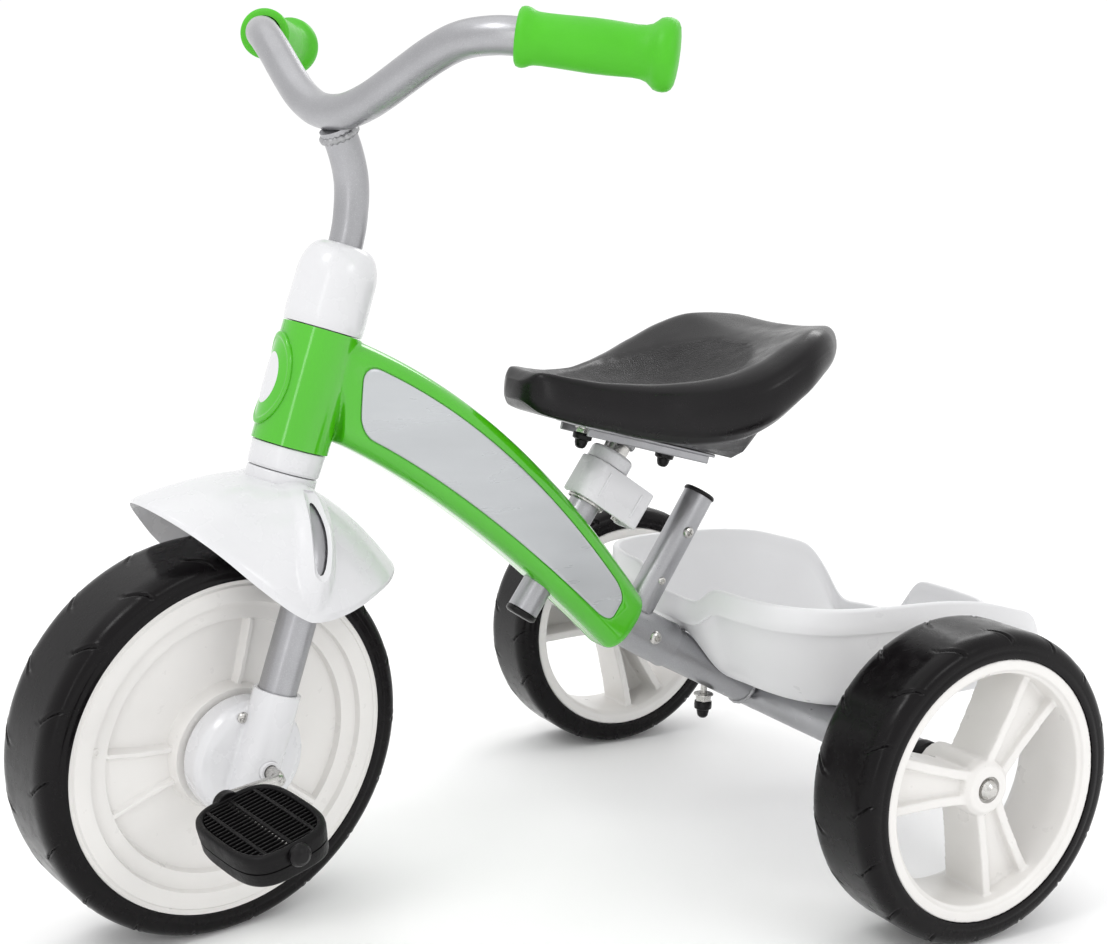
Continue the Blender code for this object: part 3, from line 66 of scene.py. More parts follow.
def finish_material(name, rgb, rough, metal=0.0, coat=0.0, coat_rough=0.1, vary=0.05, vary_scale=40.0, rough_vary=0.08,
                    bump=0.02, bump_scale=700.0, bump_dist=0.0006, grain=None, spec=0.5, stretch=(1, 1, 1), edge_highlight=0.0,
                    edge_highlight_rgb=(0.6, 0.6, 0.6), sheen=0.0, speck=0.0):
    """Principled surface whose colour, roughness and relief come from noise in the object's own space; convex edges can
    also get a painted edge highlight, a lighter colour standing in for light catching them.
    """
    m = bpy.data.materials.new(name)
    n, l = nodes_of(m)
    b = n["Principled BSDF"]
    b.inputs["Metallic"].default_value = metal
    b.inputs["Coat Weight"].default_value = coat
    b.inputs["Coat Roughness"].default_value = coat_rough
    b.inputs["Specular IOR Level"].default_value = spec
    if sheen:
        b.inputs["Sheen Weight"].default_value = sheen
    tc = n.new("ShaderNodeTexCoord")
    mp = n.new("ShaderNodeMapping")
    mp.inputs["Scale"].default_value = stretch
    l.new(tc.outputs["Object"], mp.inputs["Vector"])
    v = mp.outputs["Vector"]
    a = n.new("ShaderNodeTexNoise")
    a.inputs["Scale"].default_value = vary_scale
    a.inputs["Detail"].default_value = 6
    l.new(v, a.inputs["Vector"])
    ramp = n.new("ShaderNodeValToRGB")
    ramp.color_ramp.elements[0].position = 0.28
    ramp.color_ramp.elements[1].position = 0.72
    ramp.color_ramp.elements[0].color = (*[max(0, c * (1 - vary)) for c in rgb], 1)
    ramp.color_ramp.elements[1].color = (*[min(1, c * (1 + vary)) for c in rgb], 1)
    l.new(a.outputs["Fac"], ramp.inputs["Fac"])
    colour = ramp.outputs["Color"]
    if speck:
        s = n.new("ShaderNodeTexNoise")
        s.inputs["Scale"].default_value = 2600
        s.inputs["Detail"].default_value = 1
        l.new(v, s.inputs["Vector"])
        sr = n.new("ShaderNodeValToRGB")
        sr.color_ramp.elements[0].position = 0.56
        sr.color_ramp.elements[1].position = 0.70
        sr.color_ramp.elements[0].color = (0, 0, 0, 1)
        sr.color_ramp.elements[1].color = (speck, speck, speck, 1)
        l.new(s.outputs["Fac"], sr.inputs["Fac"])
        mx = n.new("ShaderNodeMix")
        mx.data_type = "RGBA"
        mx.blend_type = "ADD"
        mx.inputs["Factor"].default_value = 1.0
        l.new(colour, mx.inputs["A"])
        l.new(sr.outputs["Color"], mx.inputs["B"])
        colour = mx.outputs["Result"]
    # painted edge highlight: convex edges (high pointiness) are mixed towards a lighter colour, standing in for light
    # catching the rounded edges
    if edge_highlight:
        g = n.new("ShaderNodeNewGeometry")
        edge_highlight_ramp = n.new("ShaderNodeValToRGB")
        edge_highlight_ramp.color_ramp.elements[0].position = 0.54
        edge_highlight_ramp.color_ramp.elements[1].position = 0.66
        edge_highlight_ramp.color_ramp.elements[0].color = (0, 0, 0, 1)
        edge_highlight_ramp.color_ramp.elements[1].color = (edge_highlight, edge_highlight, edge_highlight, 1)
        l.new(g.outputs["Pointiness"], edge_highlight_ramp.inputs["Fac"])
        mx = n.new("ShaderNodeMix")
        mx.data_type = "RGBA"
        l.new(edge_highlight_ramp.outputs["Color"], mx.inputs["Factor"])
        l.new(colour, mx.inputs["A"])
        mx.inputs["B"].default_value = (*edge_highlight_rgb, 1)
        colour = mx.outputs["Result"]
    l.new(colour, b.inputs["Base Color"])
    r = n.new("ShaderNodeTexNoise")
    r.inputs["Scale"].default_value = vary_scale * 3.1
    r.inputs["Detail"].default_value = 5
    l.new(v, r.inputs["Vector"])
    mr = n.new("ShaderNodeMapRange")
    mr.inputs["From Min"].default_value = 0.3
    mr.inputs["From Max"].default_value = 0.7
    mr.inputs["To Min"].default_value = max(0.02, rough - rough_vary)
    mr.inputs["To Max"].default_value = min(1, rough + rough_vary)
    l.new(r.outputs["Fac"], mr.inputs["Value"])
    l.new(mr.outputs["Result"], b.inputs["Roughness"])
    height = None
    if bump:
        f = n.new("ShaderNodeTexNoise")
        f.inputs["Scale"].default_value = bump_scale
        f.inputs["Detail"].default_value = 3
        l.new(v, f.inputs["Vector"])
        height = f.outputs["Fac"]
    if grain:
        vo = n.new("ShaderNodeTexVoronoi")
        vo.inputs["Scale"].default_value = grain
        l.new(v, vo.inputs["Vector"])
        ad = n.new("ShaderNodeMath")
        ad.operation = "MULTIPLY_ADD"
        ad.inputs[1].default_value = 0.9
        l.new(vo.outputs["Distance"], ad.inputs[0])
        if height:
            l.new(height, ad.inputs[2])
        height = ad.outputs[0]
    if height:
        bp = n.new("ShaderNodeBump")
        bp.inputs["Strength"].default_value = bump if bump else 0.2
        bp.inputs["Distance"].default_value = bump_dist
        l.new(height, bp.inputs["Height"])
        l.new(bp.outputs["Normal"], b.inputs["Normal"])
    return m


# where a finish below has a lighter second colour for convex edges, that colour is a painted edge highlight
GREEN = finish_material("gloss_green", (0.060, 0.43, 0.006), 0.15, coat=0.5, coat_rough=0.04, vary=0.04, vary_scale=14, rough_vary=0.05,
                        bump=0.05, bump_scale=160, bump_dist=0.0006, edge_highlight=0.25, edge_highlight_rgb=(0.16, 0.62, 0.05))
GRIPM = finish_material("green_grip", (0.064, 0.45, 0.010), 0.46, vary=0.06, vary_scale=30, rough_vary=0.08, bump=0.25, bump_scale=900,
                        bump_dist=0.0004, spec=0.35, edge_highlight=0.2, edge_highlight_rgb=(0.2, 0.65, 0.08))
WHITE = finish_material("gloss_white", (0.66, 0.66, 0.675), 0.26, coat=0.3, coat_rough=0.12, vary=0.02, vary_scale=16, rough_vary=0.07,
                        bump=0.06, bump_scale=120, bump_dist=0.0006, edge_highlight=0.35, edge_highlight_rgb=(0.82, 0.82, 0.83))
RIMM = finish_material("rim_white", (0.76, 0.745, 0.725), 0.36, coat=0.15, coat_rough=0.25, vary=0.025, vary_scale=22, rough_vary=0.10,
                       bump=0.10, bump_scale=260, bump_dist=0.0005, edge_highlight=0.35, edge_highlight_rgb=(0.86, 0.85, 0.835))
TRAY = finish_material("tray_white", (0.72, 0.72, 0.73), 0.34, coat=0.1, coat_rough=0.3, vary=0.02, vary_scale=12, rough_vary=0.08,
                       bump=0.12, bump_scale=520, bump_dist=0.0004, edge_highlight=0.3, edge_highlight_rgb=(0.84, 0.84, 0.845))
SILVER = finish_material("silver_paint", (0.36, 0.36, 0.375), 0.34, metal=0.9, coat=0.15, coat_rough=0.22, vary=0.05, vary_scale=30,
                         rough_vary=0.07, bump=0.10, bump_scale=420, bump_dist=0.0004, speck=0.10, edge_highlight=0.15, edge_highlight_rgb=(0.6, 0.6, 0.6))
STEEL = finish_material("zinc_steel", (0.56, 0.55, 0.53), 0.26, metal=1.0, vary=0.10, vary_scale=90, rough_vary=0.10, bump=0.10,
                        bump_scale=900, bump_dist=0.0003)
WELD = finish_material("painted_weld", (0.38, 0.38, 0.39), 0.42, metal=0.7, vary=0.08, vary_scale=160, rough_vary=0.10, bump=0.4,
                       bump_scale=500, bump_dist=0.0006)
PANEL = finish_material("grey_panel", (0.47, 0.485, 0.50), 0.32, metal=0.25, coat=0.3, coat_rough=0.15, vary=0.09, vary_scale=16,
                        rough_vary=0.10, bump=0.10, bump_scale=300, bump_dist=0.0003, stretch=(0.3, 1, 1.6))
TYRE = finish_material("foam_tyre", (0.0035, 0.0028, 0.0033), 0.25, spec=0.16, vary=0.25, vary_scale=34, rough_vary=0.07,
                       bump=0.10, bump_scale=300, bump_dist=0.0006, edge_highlight=0.4, edge_highlight_rgb=(0.012, 0.010, 0.012))
BLACK = finish_material("black_plastic", (0.0045, 0.0040, 0.0045), 0.34, spec=0.22, vary=0.2, vary_scale=40, rough_vary=0.08, bump=0.2, bump_scale=800,
                        bump_dist=0.0004, edge_highlight=0.5, edge_highlight_rgb=(0.02, 0.019, 0.02))
RIBBED = finish_material("black_pedal", (0.0035, 0.0031, 0.0035), 0.42, spec=0.16, vary=0.25, vary_scale=60, rough_vary=0.10, bump=0.35, bump_scale=700,
                         bump_dist=0.0005, edge_highlight=0.5, edge_highlight_rgb=(0.016, 0.015, 0.016))


def saddle_material():
    """Satin black moulding with a stippled teardrop pressed into its top."""
    # the lighter colour given for convex edges is a painted edge highlight
    m = finish_material("saddle_black", (0.0050, 0.0042, 0.0050), 0.29, spec=0.24, vary=0.2, vary_scale=30, rough_vary=0.06,
                        bump=0.08, bump_scale=500, bump_dist=0.0004, edge_highlight=0.35, edge_highlight_rgb=(0.016, 0.014, 0.016))
    n, l = nodes_of(m)
    b = n["Principled BSDF"]
    at = n.new("ShaderNodeAttribute")
    at.attribute_name = "stipple"
    v = n.new("ShaderNodeTexVoronoi")
    v.inputs["Scale"].default_value = 900
    tc = n.new("ShaderNodeTexCoord")
    l.new(tc.outputs["Object"], v.inputs["Vector"])
    mul = n.new("ShaderNodeMath")
    mul.operation = "MULTIPLY"
    l.new(v.outputs["Distance"], mul.inputs[0])
    l.new(at.outputs["Fac"], mul.inputs[1])
    bp = n.new("ShaderNodeBump")
    bp.inputs["Strength"].default_value = 0.6
    bp.inputs["Distance"].default_value = 0.0010
    l.new(mul.outputs[0], bp.inputs["Height"])
    old = b.inputs["Normal"].links[0].from_node
    l.new(old.outputs["Normal"], bp.inputs["Normal"])
    l.new(bp.outputs["Normal"], b.inputs["Normal"])
    rl = b.inputs["Roughness"].links[0].from_socket
    ad = n.new("ShaderNodeMath")
    ad.operation = "MULTIPLY_ADD"
    ad.inputs[1].default_value = 0.16
    l.new(at.outputs["Fac"], ad.inputs[0])
    l.new(rl, ad.inputs[2])
    l.new(ad.outputs[0], b.inputs["Roughness"])
    return m


SADDLE = saddle_material()


# ------------------------------------------------------------------ mesh helpers
def mesh_piece(name, verts, faces, M, mat, body, replace=(), slot=None, sharp=35, bevel=0.0, sub=0, merge=True, tri=False):
    me = bpy.data.meshes.new(name)
    bm = bmesh.new()
    vs = [bm.verts.new(v) for v in verts]
    for f in faces:
        g = []
        for i in f:
            if i not in g:
                g.append(i)
        if len(g) > 2:
            try:
                bm.faces.new([vs[i] for i in g])
            except ValueError:
                pass
    if merge:
        bmesh.ops.remove_doubles(bm, verts=bm.verts, dist=1e-7)
    bmesh.ops.recalc_face_normals(bm, faces=bm.faces)
    if bm.calc_volume(signed=True) < 0:
        bmesh.ops.reverse_faces(bm, faces=bm.faces)
    if tri:
        bmesh.ops.triangulate(bm, faces=bm.faces)
    bm.to_mesh(me)
    bm.free()
    me.transform(M)
    me.shade_smooth()
    me.set_sharp_from_angle(angle=radians(sharp))
    ob = bpy.data.objects.new(name, me)
    bpy.context.scene.collection.objects.link(ob)
    if mat is not None:
        me.materials.append(mat)
    if bevel:
        round_edges(ob, bevel)
    if sub:
        m = ob.modifiers.new("subdivide", "SUBSURF")
        m.levels = sub
        m.render_levels = sub
    if body:
        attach(ob, body)
        if replace:
            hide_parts(*([replace] if isinstance(replace, str) else replace))
    return ob


def round_edges(ob, width, seg=3, angle=35):
    b = ob.modifiers.new("edge_round", "BEVEL")
    b.width = width
    b.segments = seg
    b.limit_method = "ANGLE"
    b.angle_limit = radians(angle)
    b.use_clamp_overlap = True
    b.harden_normals = False


def apply_all(ob):
    dg = bpy.context.evaluated_depsgraph_get()
    dg.update()
    me = bpy.data.meshes.new_from_object(ob.evaluated_get(dg))
    old = ob.data
    ob.modifiers.clear()
    ob.data = me
    bpy.data.meshes.remove(old)
    return ob


def cut(ob, tool, op="DIFFERENCE", keep=False):
    m = ob.modifiers.new("cut", "BOOLEAN")
    m.operation = op
    m.solver = "EXACT"
    m.object = tool
    apply_all(ob)
    if not keep:
        me = tool.data
        bpy.data.objects.remove(tool, do_unlink=True)
        bpy.data.meshes.remove(me)
    return ob


def remesh(ob, size, smooth=4, factor=0.5):
    m = ob.modifiers.new("remesh", "REMESH")
    m.mode = "VOXEL"
    m.voxel_size = size
    apply_all(ob)
    if smooth:
        s = ob.modifiers.new("smooth", "SMOOTH")
        s.factor = factor
        s.iterations = smooth
        apply_all(ob)
    ob.data.shade_smooth()
    return ob


def reduce(ob, ratio):
    m = ob.modifiers.new("reduce", "DECIMATE")
    m.ratio = ratio
    apply_all(ob)
    ob.data.shade_smooth()
    return ob


def resharp(ob, angle=40):
    ob.data.shade_smooth()
    ob.data.set_sharp_from_angle(angle=radians(angle))
    return ob


def rows_mesh(rows, wrap_rows=False, caps=False):
    verts, idx = [], []
    for r in rows:
        idx.append(list(range(len(verts), len(verts) + len(r))))
        verts += [Vector(p) for p in r]
    faces = []
    m, n = len(rows), len(rows[0])
    for i in range(m if wrap_rows else m - 1):
        a, b = idx[i], idx[(i + 1) % m]
        faces += [(a[k], a[(k + 1) % n], b[(k + 1) % n], b[k]) for k in range(n)]
    if caps:
        faces += [tuple(idx[0][::-1]), tuple(idx[-1])]
    return verts, faces


def lathe(profile, n=64, axis="Z"):
    rows = []
    for k in range(len(profile)):
        r, z = profile[k]
        rows.append([(r * cos(2 * pi * j / n), r * sin(2 * pi * j / n), z) for j in range(n)])
    v, f = rows_mesh(rows, wrap_rows=True)
    if axis == "Y":
        v = [Vector((p.x, p.z, p.y)) for p in v]
    return v, f


def rounded(profile, r, seg=4):
    """Rounds every corner of a closed profile of (r, z) points that is not on the axis."""
    out = []
    n = len(profile)
    for i in range(n):
        p = Vector(profile[i])
        a, b = Vector(profile[i - 1]) - p, Vector(profile[(i + 1) % n]) - p
        if p.x < 1e-6 or a.length < 1e-7 or b.length < 1e-7:
            out.append(tuple(p))
            continue
        ang = a.angle(b)
        if ang > radians(172):
            out.append(tuple(p))
            continue
        d = min(r / tan(ang / 2), a.length * 0.45, b.length * 0.45)
        rr = d * tan(ang / 2)
        s, e = p + a.normalized() * d, p + b.normalized() * d
        c = p + (a.normalized() + b.normalized()).normalized() * (rr / sin(ang / 2))
        w = pi - ang
        for k in range(seg + 1):
            t = k / seg
            v = ((s - c) * sin((1 - t) * w) + (e - c) * sin(t * w)) / sin(w)
            out.append(tuple(c + v))
    return out


def turned(name, profile, M, mat, body, n=64, axis="Z", rnd=0.0, seg=4, **kw):
    if rnd:
        profile = rounded(profile, rnd, seg)
    v, f = lathe(profile, n, axis)
    return mesh_piece(name, v, f, M, mat, body, **kw)


def smooth_path(points, n):
    p = [Vector(q) for q in points]
    p = [2 * p[0] - p[1]] + p + [2 * p[-1] - p[-2]]
    out = []
    for i in range(1, len(p) - 2):
        for k in range(n):
            t = k / n
            a, b, c, d = p[i - 1], p[i], p[i + 1], p[i + 2]
            out.append(0.5 * ((2 * b) + (c - a) * t + (2 * a - 5 * b + 4 * c - d) * t * t + (3 * b - a - 3 * c + d) * t ** 3))
    out.append(p[-2])
    return out


def relax(path, times=1):
    p = [Vector(q) for q in path]
    for _ in range(times):
        p = [p[0]] + [(p[i - 1] + 2 * p[i] + p[i + 1]) / 4 for i in range(1, len(p) - 1)] + [p[-1]]
    return p


def tube(path, r, n=40, bore=0.0, edge=0.0):
    """A round tube along a path with rounded rims, closed by flat ends or by its own bore."""
    path = [Vector(q) for q in path]
    rs = list(r) if isinstance(r, (list, tuple)) else [r] * len(path)
    if edge:
        d0 = (path[1] - path[0]).normalized()
        d1 = (path[-2] - path[-1]).normalized()
        path = [path[0], path[0] + d0 * edge * 0.3, path[0] + d0 * edge] + path[1:-1] + [path[-1] + d1 * edge, path[-1] + d1 * edge * 0.3, path[-1]]
        rs = [rs[0] - edge, rs[0] - edge * 0.3, rs[0]] + rs[1:-1] + [rs[-1], rs[-1] - edge * 0.3, rs[-1] - edge]
    m = len(path)
    t = [(path[min(i + 1, m - 1)] - path[max(i - 1, 0)]).normalized() for i in range(m)]
    up = Vector((0, 1, 0)) if abs(t[0].y) < 0.9 else Vector((1, 0, 0))
    u = t[0].cross(up).normalized()
    us = []
    for i in range(m):
        u = (u - t[i] * u.dot(t[i])).normalized()
        us.append(u)
    def loop(i, rr):
        w = t[i].cross(us[i])
        return [path[i] + rr * (cos(2 * pi * k / n) * us[i] + sin(2 * pi * k / n) * w) for k in range(n)]
    rows = [loop(i, rs[i]) for i in range(m)]
    if bore:
        rows += [loop(i, bore) for i in range(m - 1, -1, -1)]
        return rows_mesh(rows, wrap_rows=True)
    return rows_mesh(rows, caps=True)


def swept(name, path, r, M, mat, body, n=40, bore=0.0, edge=0.0, **kw):
    v, f = tube(path, r, n, bore, edge)
    return mesh_piece(name, v, f, M, mat, body, sharp=kw.pop("sharp", 40), **kw)


def box_mesh(lo, hi):
    v = [(x, y, z) for x in (lo[0], hi[0]) for y in (lo[1], hi[1]) for z in (lo[2], hi[2])]
    f = [(0, 1, 3, 2), (4, 6, 7, 5), (0, 4, 5, 1), (2, 3, 7, 6), (0, 2, 6, 4), (1, 5, 7, 3)]
    return v, f


def bar(name, lo, hi, M, mat, body, bevel=0.0008, **kw):
    v, f = box_mesh(lo, hi)
    return mesh_piece(name, v, f, M, mat, body, bevel=bevel, **kw)


def tool(verts, faces, M=Matrix.Identity(4)):
    return mesh_piece("tool", verts, faces, M, None, None)


def extruded(outline, y0, y1):
    n = len(outline)
    v = [(x, y0, z) for x, z in outline] + [(x, y1, z) for x, z in outline]
    f = [tuple(range(n)), tuple(range(2 * n - 1, n - 1, -1))]
    f += [(i, (i + 1) % n, n + (i + 1) % n, n + i) for i in range(n)]
    return v, f


def join(name, parts, body, mat, replace=()):
    """Several meshes as one piece."""
    bm = bmesh.new()
    for p in parts:
        dg = bpy.context.evaluated_depsgraph_get()
        dg.update()
        me = bpy.data.meshes.new_from_object(p.evaluated_get(dg))
        me.transform(p.matrix_world)
        bm.from_mesh(me)
        bpy.data.meshes.remove(me)
        bpy.data.objects.remove(p, do_unlink=True)
    me = bpy.data.meshes.new(name)
    bm.to_mesh(me)
    bm.free()
    ob = bpy.data.objects.new(name, me)
    bpy.context.scene.collection.objects.link(ob)
    me.materials.clear()
    me.materials.append(mat)
    for p in me.polygons:
        p.material_index = 0
    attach(ob, body)
    if replace:
        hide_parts(*([replace] if isinstance(replace, str) else replace))
    return ob


def eased(x, xs, ys):
    if x <= xs[0]:
        return ys[0]
    for i in range(len(xs) - 1):
        if x <= xs[i + 1]:
            h = xs[i + 1] - xs[i]
            t = (x - xs[i]) / h
            def slope(j):
                if j <= 0 or j >= len(xs) - 1:
                    return 0.0 if j >= len(xs) - 1 else (ys[1] - ys[0]) / (xs[1] - xs[0])
                a = (ys[j] - ys[j - 1]) / (xs[j] - xs[j - 1])
                b = (ys[j + 1] - ys[j]) / (xs[j + 1] - xs[j])
                return 0.0 if a * b <= 0 else 2 * a * b / (a + b)
            m0, m1 = slope(i), slope(i + 1)
            return ((2 * t ** 3 - 3 * t * t + 1) * ys[i] + (t ** 3 - 2 * t * t + t) * h * m0
                    + (-2 * t ** 3 + 3 * t * t) * ys[i + 1] + (t ** 3 - t * t) * h * m1)
    return ys[-1]


def bezier(p0, p1, p2, p3, t):
    s = 1 - t
    return tuple(s ** 3 * a + 3 * s * s * t * b + 3 * s * t * t * c + t ** 3 * d for a, b, c, d in zip(p0, p1, p2, p3))


def weld(name, centre, axis, R, r, M, body, squash=1.0, n=96, mat=None):
    """A rippled bead of weld round a joint."""
    axis = Vector(axis).normalized()
    u = axis.orthogonal().normalized()
    w = axis.cross(u)
    rows = []
    for i in range(n):
        a = 2 * pi * i / n
        d = cos(a) * u + sin(a) * w
        rr = r * (1 + 0.16 * sin(i * 2 * pi / 5.2) + 0.12 * noise.noise(Vector((cos(a) * 3, sin(a) * 3, R * 90))))
        rows.append([Vector(centre) + d * (R + rr * 0.8 * cos(b)) + axis * rr * squash * sin(b) for b in [2 * pi * k / 10 for k in range(10)]])
    v, f = rows_mesh(rows, wrap_rows=True)
    return mesh_piece(name, v, f, M, mat or WELD, body, sharp=80, slot="silver_paint")


def cross_screw(name, M, r, h, mat, body, kind="cross", **kw):
    """Domed screw head on +Z with a cross or hexagon recess."""
    prof = [(0, -h * 0.2), (r, -h * 0.2), (r, h * 0.25), (r * 0.86, h * 0.72), (r * 0.55, h * 0.96), (0, h)]
    v, f = lathe(rounded(prof, r * 0.08, 3), 40)
    ob = mesh_piece(name, v, f, M, mat, None, sharp=40)
    if kind == "cross":
        for a in (0, pi / 2):
            v, f = box_mesh((-r * 0.58, -r * 0.11, h * 0.35), (r * 0.58, r * 0.11, h * 1.5))
            cut(ob, tool(v, f, M @ Matrix.Rotation(a, 4, "Z")))
    else:
        v, f = lathe([(0, h * 0.2), (r * 0.52, h * 0.2), (r * 0.52, h * 1.5), (0, h * 1.5)], 6)
        cut(ob, tool(v, f, M))
    resharp(ob, 30)
    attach(ob, body)
    if kw.get("replace"):
        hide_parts(kw["replace"])
    return ob


def facing(centre, normal):
    """Matrix that puts +Z along the normal at a point."""
    return Matrix.Translation(centre) @ Vector(normal).to_track_quat("Z", "Y").to_matrix().to_4x4()


# ------------------------------------------------------------------ tyres
def tyre(name, R, rim, y0, y1, M, body, replace, grooves, sgn=1, start=0.0):
    """Foam tyre: crowned tread, sidewall step and short curved grooves cut in from each shoulder."""
    mid, hw = (y0 + y1) / 2, (y1 - y0) / 2
    prof = []
    def add(r, s):
        prof.append((r, s))
    wall = [(rim + 0.0003, 1.0), (rim + 0.0016, 1.012), (rim + 0.0046, 1.012), (rim + 0.0056, 0.998), (rim + 0.0066, 1.006)]
    step = 14
    shoulder = []
    e = 2.35
    top = rim + 0.0072
    for k in range(step + 9):
        a = (k / (step + 8)) * pi / 2
        q = 0.46
        x = (1 - q) + q * abs(cos(a)) ** (2 / e)
        z = top + (R - top) * abs(sin(a)) ** (2 / e)
        shoulder.append((z, x * 1.004))
    half = wall + shoulder
    crown = [(R, s) for s in (0.42, 0.30, 0.15)]
    full = half + crown
    full = full + [(r, -s) for r, s in ([(R, 0.0)])] + [(r, -s) for r, s in full[::-1]]
    prof = [(r, mid + hw * s, s) for r, s in full]
    n = 56 * grooves
    rows = []
    for j in range(n):
        a = 2 * pi * j / n
        row = []
        for r, y, s in prof:
            d = 0.0
            if r > top + 0.001:
                w = abs(s)
                depth_here = max(0.0, min(1.0, (w - 0.50) / 0.08)) * max(0.0, min(1.0, (1.0 - w) / 0.05))
                g = (a / (2 * pi) * grooves + start + (0.5 if s < 0 else 0.0) + 0.75 * max(0.0, 1 - w) ** 1.2) % 1.0
                dist = abs(g - 0.5) * 2 * pi / grooves * R
                d = 0.0011 * depth_here * exp(-(dist / 0.00085) ** 2)
                d -= 0.00022 * depth_here * exp(-((dist - 0.0024) / 0.0012) ** 2)
            rr = r - d
            row.append((rr * cos(a), y - (d * 0.5 if s > 0 else -d * 0.5), rr * sin(a)))
        rows.append(row)
    # close each section round the inside of the tyre
    v, f = rows_mesh(rows, wrap_rows=True)
    return mesh_piece(name, v, f, M, TYRE, body, replace=replace, slot="black_foam_tyre", sharp=50)


tyre("front_tyre_moulded", FR, FRIM, -FHW - 0.0004, FHW + 0.0004, S, "front_wheel", "front_tyre", 18, start=0.2)
for side, sg in (("left", 1), ("right", -1)):
    a, b = (RIN, ROUT) if sg > 0 else (-ROUT, -RIN)
    tyre("rear_tyre_moulded_" + side, RR, RRIM, a, b, F @ Matrix.Translation((0, 0, 0.104)), "rear_wheel_" + side, "rear_tyre_" + side, 16,
         start=0.35)

# ------------------------------------------------------------------ front rim
SPOKES_F = [radians(a) for a in (97.0, 217.0, 337.0)]


def step_up(x, a, w):
    t = max(0.0, min(1.0, (x - a) / w + 0.5))
    return t * t * (3 - 2 * t)


def front_face(r, th):
    """Height of the front rim's face, from the wheel's middle plane."""
    h = 0.0200
    h += 0.0054 * step_up(r, 0.0822, 0.0016)
    h += 0.0046 * step_up(r, 0.0938, 0.0016)
    h -= 0.0011 * step_up(r, 0.1050, 0.0010) * (1 - step_up(r, 0.1075, 0.0010))
    boss = 0.0108 * (1 - step_up(r, 0.0405, 0.0022))
    near = min((abs((th - a + pi) % (2 * pi) - pi), a) for a in SPOKES_F)
    off = r * sin(near[0]) if near[0] < pi / 2 else 1.0
    half = 0.0125 + 0.0095 * max(0.0, (r - 0.036) / 0.046) ** 1.4
    on = 1 - step_up(off, half, 0.0018)
    inner = 1 - step_up(off, half - 0.0042, 0.0016)
    spoke = (0.0058 * on - 0.0032 * inner) * (1 - step_up(r, 0.0822, 0.0014))
    return h + max(boss, spoke if r > 0.036 else boss)


radii = [0.0046, 0.0160, 0.0280, 0.0360, 0.0385, 0.0393, 0.0400, 0.0406, 0.0412, 0.0418, 0.0430, 0.0460, 0.0500, 0.0540, 0.0580, 0.0620,
         0.0660, 0.0700, 0.0740, 0.0775, 0.0800, 0.0810, 0.0816, 0.0822, 0.0828, 0.0836, 0.0860, 0.0900, 0.0926, 0.0933, 0.0938, 0.0944,
         0.0952, 0.0990, 0.1030, 0.1044, 0.1050, 0.1056, 0.1066, 0.1073, 0.1078, 0.1082]
NA = 432
cols = []
for j in range(NA):
    th = 2 * pi * j / NA
    top = [(r * cos(th), front_face(r, th), r * sin(th)) for r in radii]
    rim_edge = [(FRIM * cos(th), s * (FHW - 0.0006), FRIM * sin(th)) for s in (1, 0.5, 0, -0.5, -1)]
    low = [(x, -y, z) for x, y, z in top[::-1]]
    cols.append(top + rim_edge + low)
v, f = rows_mesh(cols, wrap_rows=True)
mesh_piece("front_rim_moulded", v, f, S, RIMM, "front_wheel", replace="front_rim", slot="rim_plastic", sharp=32)
for sg in (1, -1):
    for i, a in enumerate(SPOKES_F):
        p = Vector((0.0905 * cos(a + 0.28), sg * 0.0254, 0.0905 * sin(a + 0.28)))
        turned("rim_boss_%s_%d" % ("left" if sg > 0 else "right", i),
               [(0, -0.0010), (0.0027, -0.0010), (0.0027, 0.0007), (0.0017, 0.0009), (0.0013, 0.0001), (0, 0.0001)],
               S @ facing(p, (0, sg, 0)), RIMM, "front_wheel", n=28, rnd=0.0002, slot="rim_plastic")

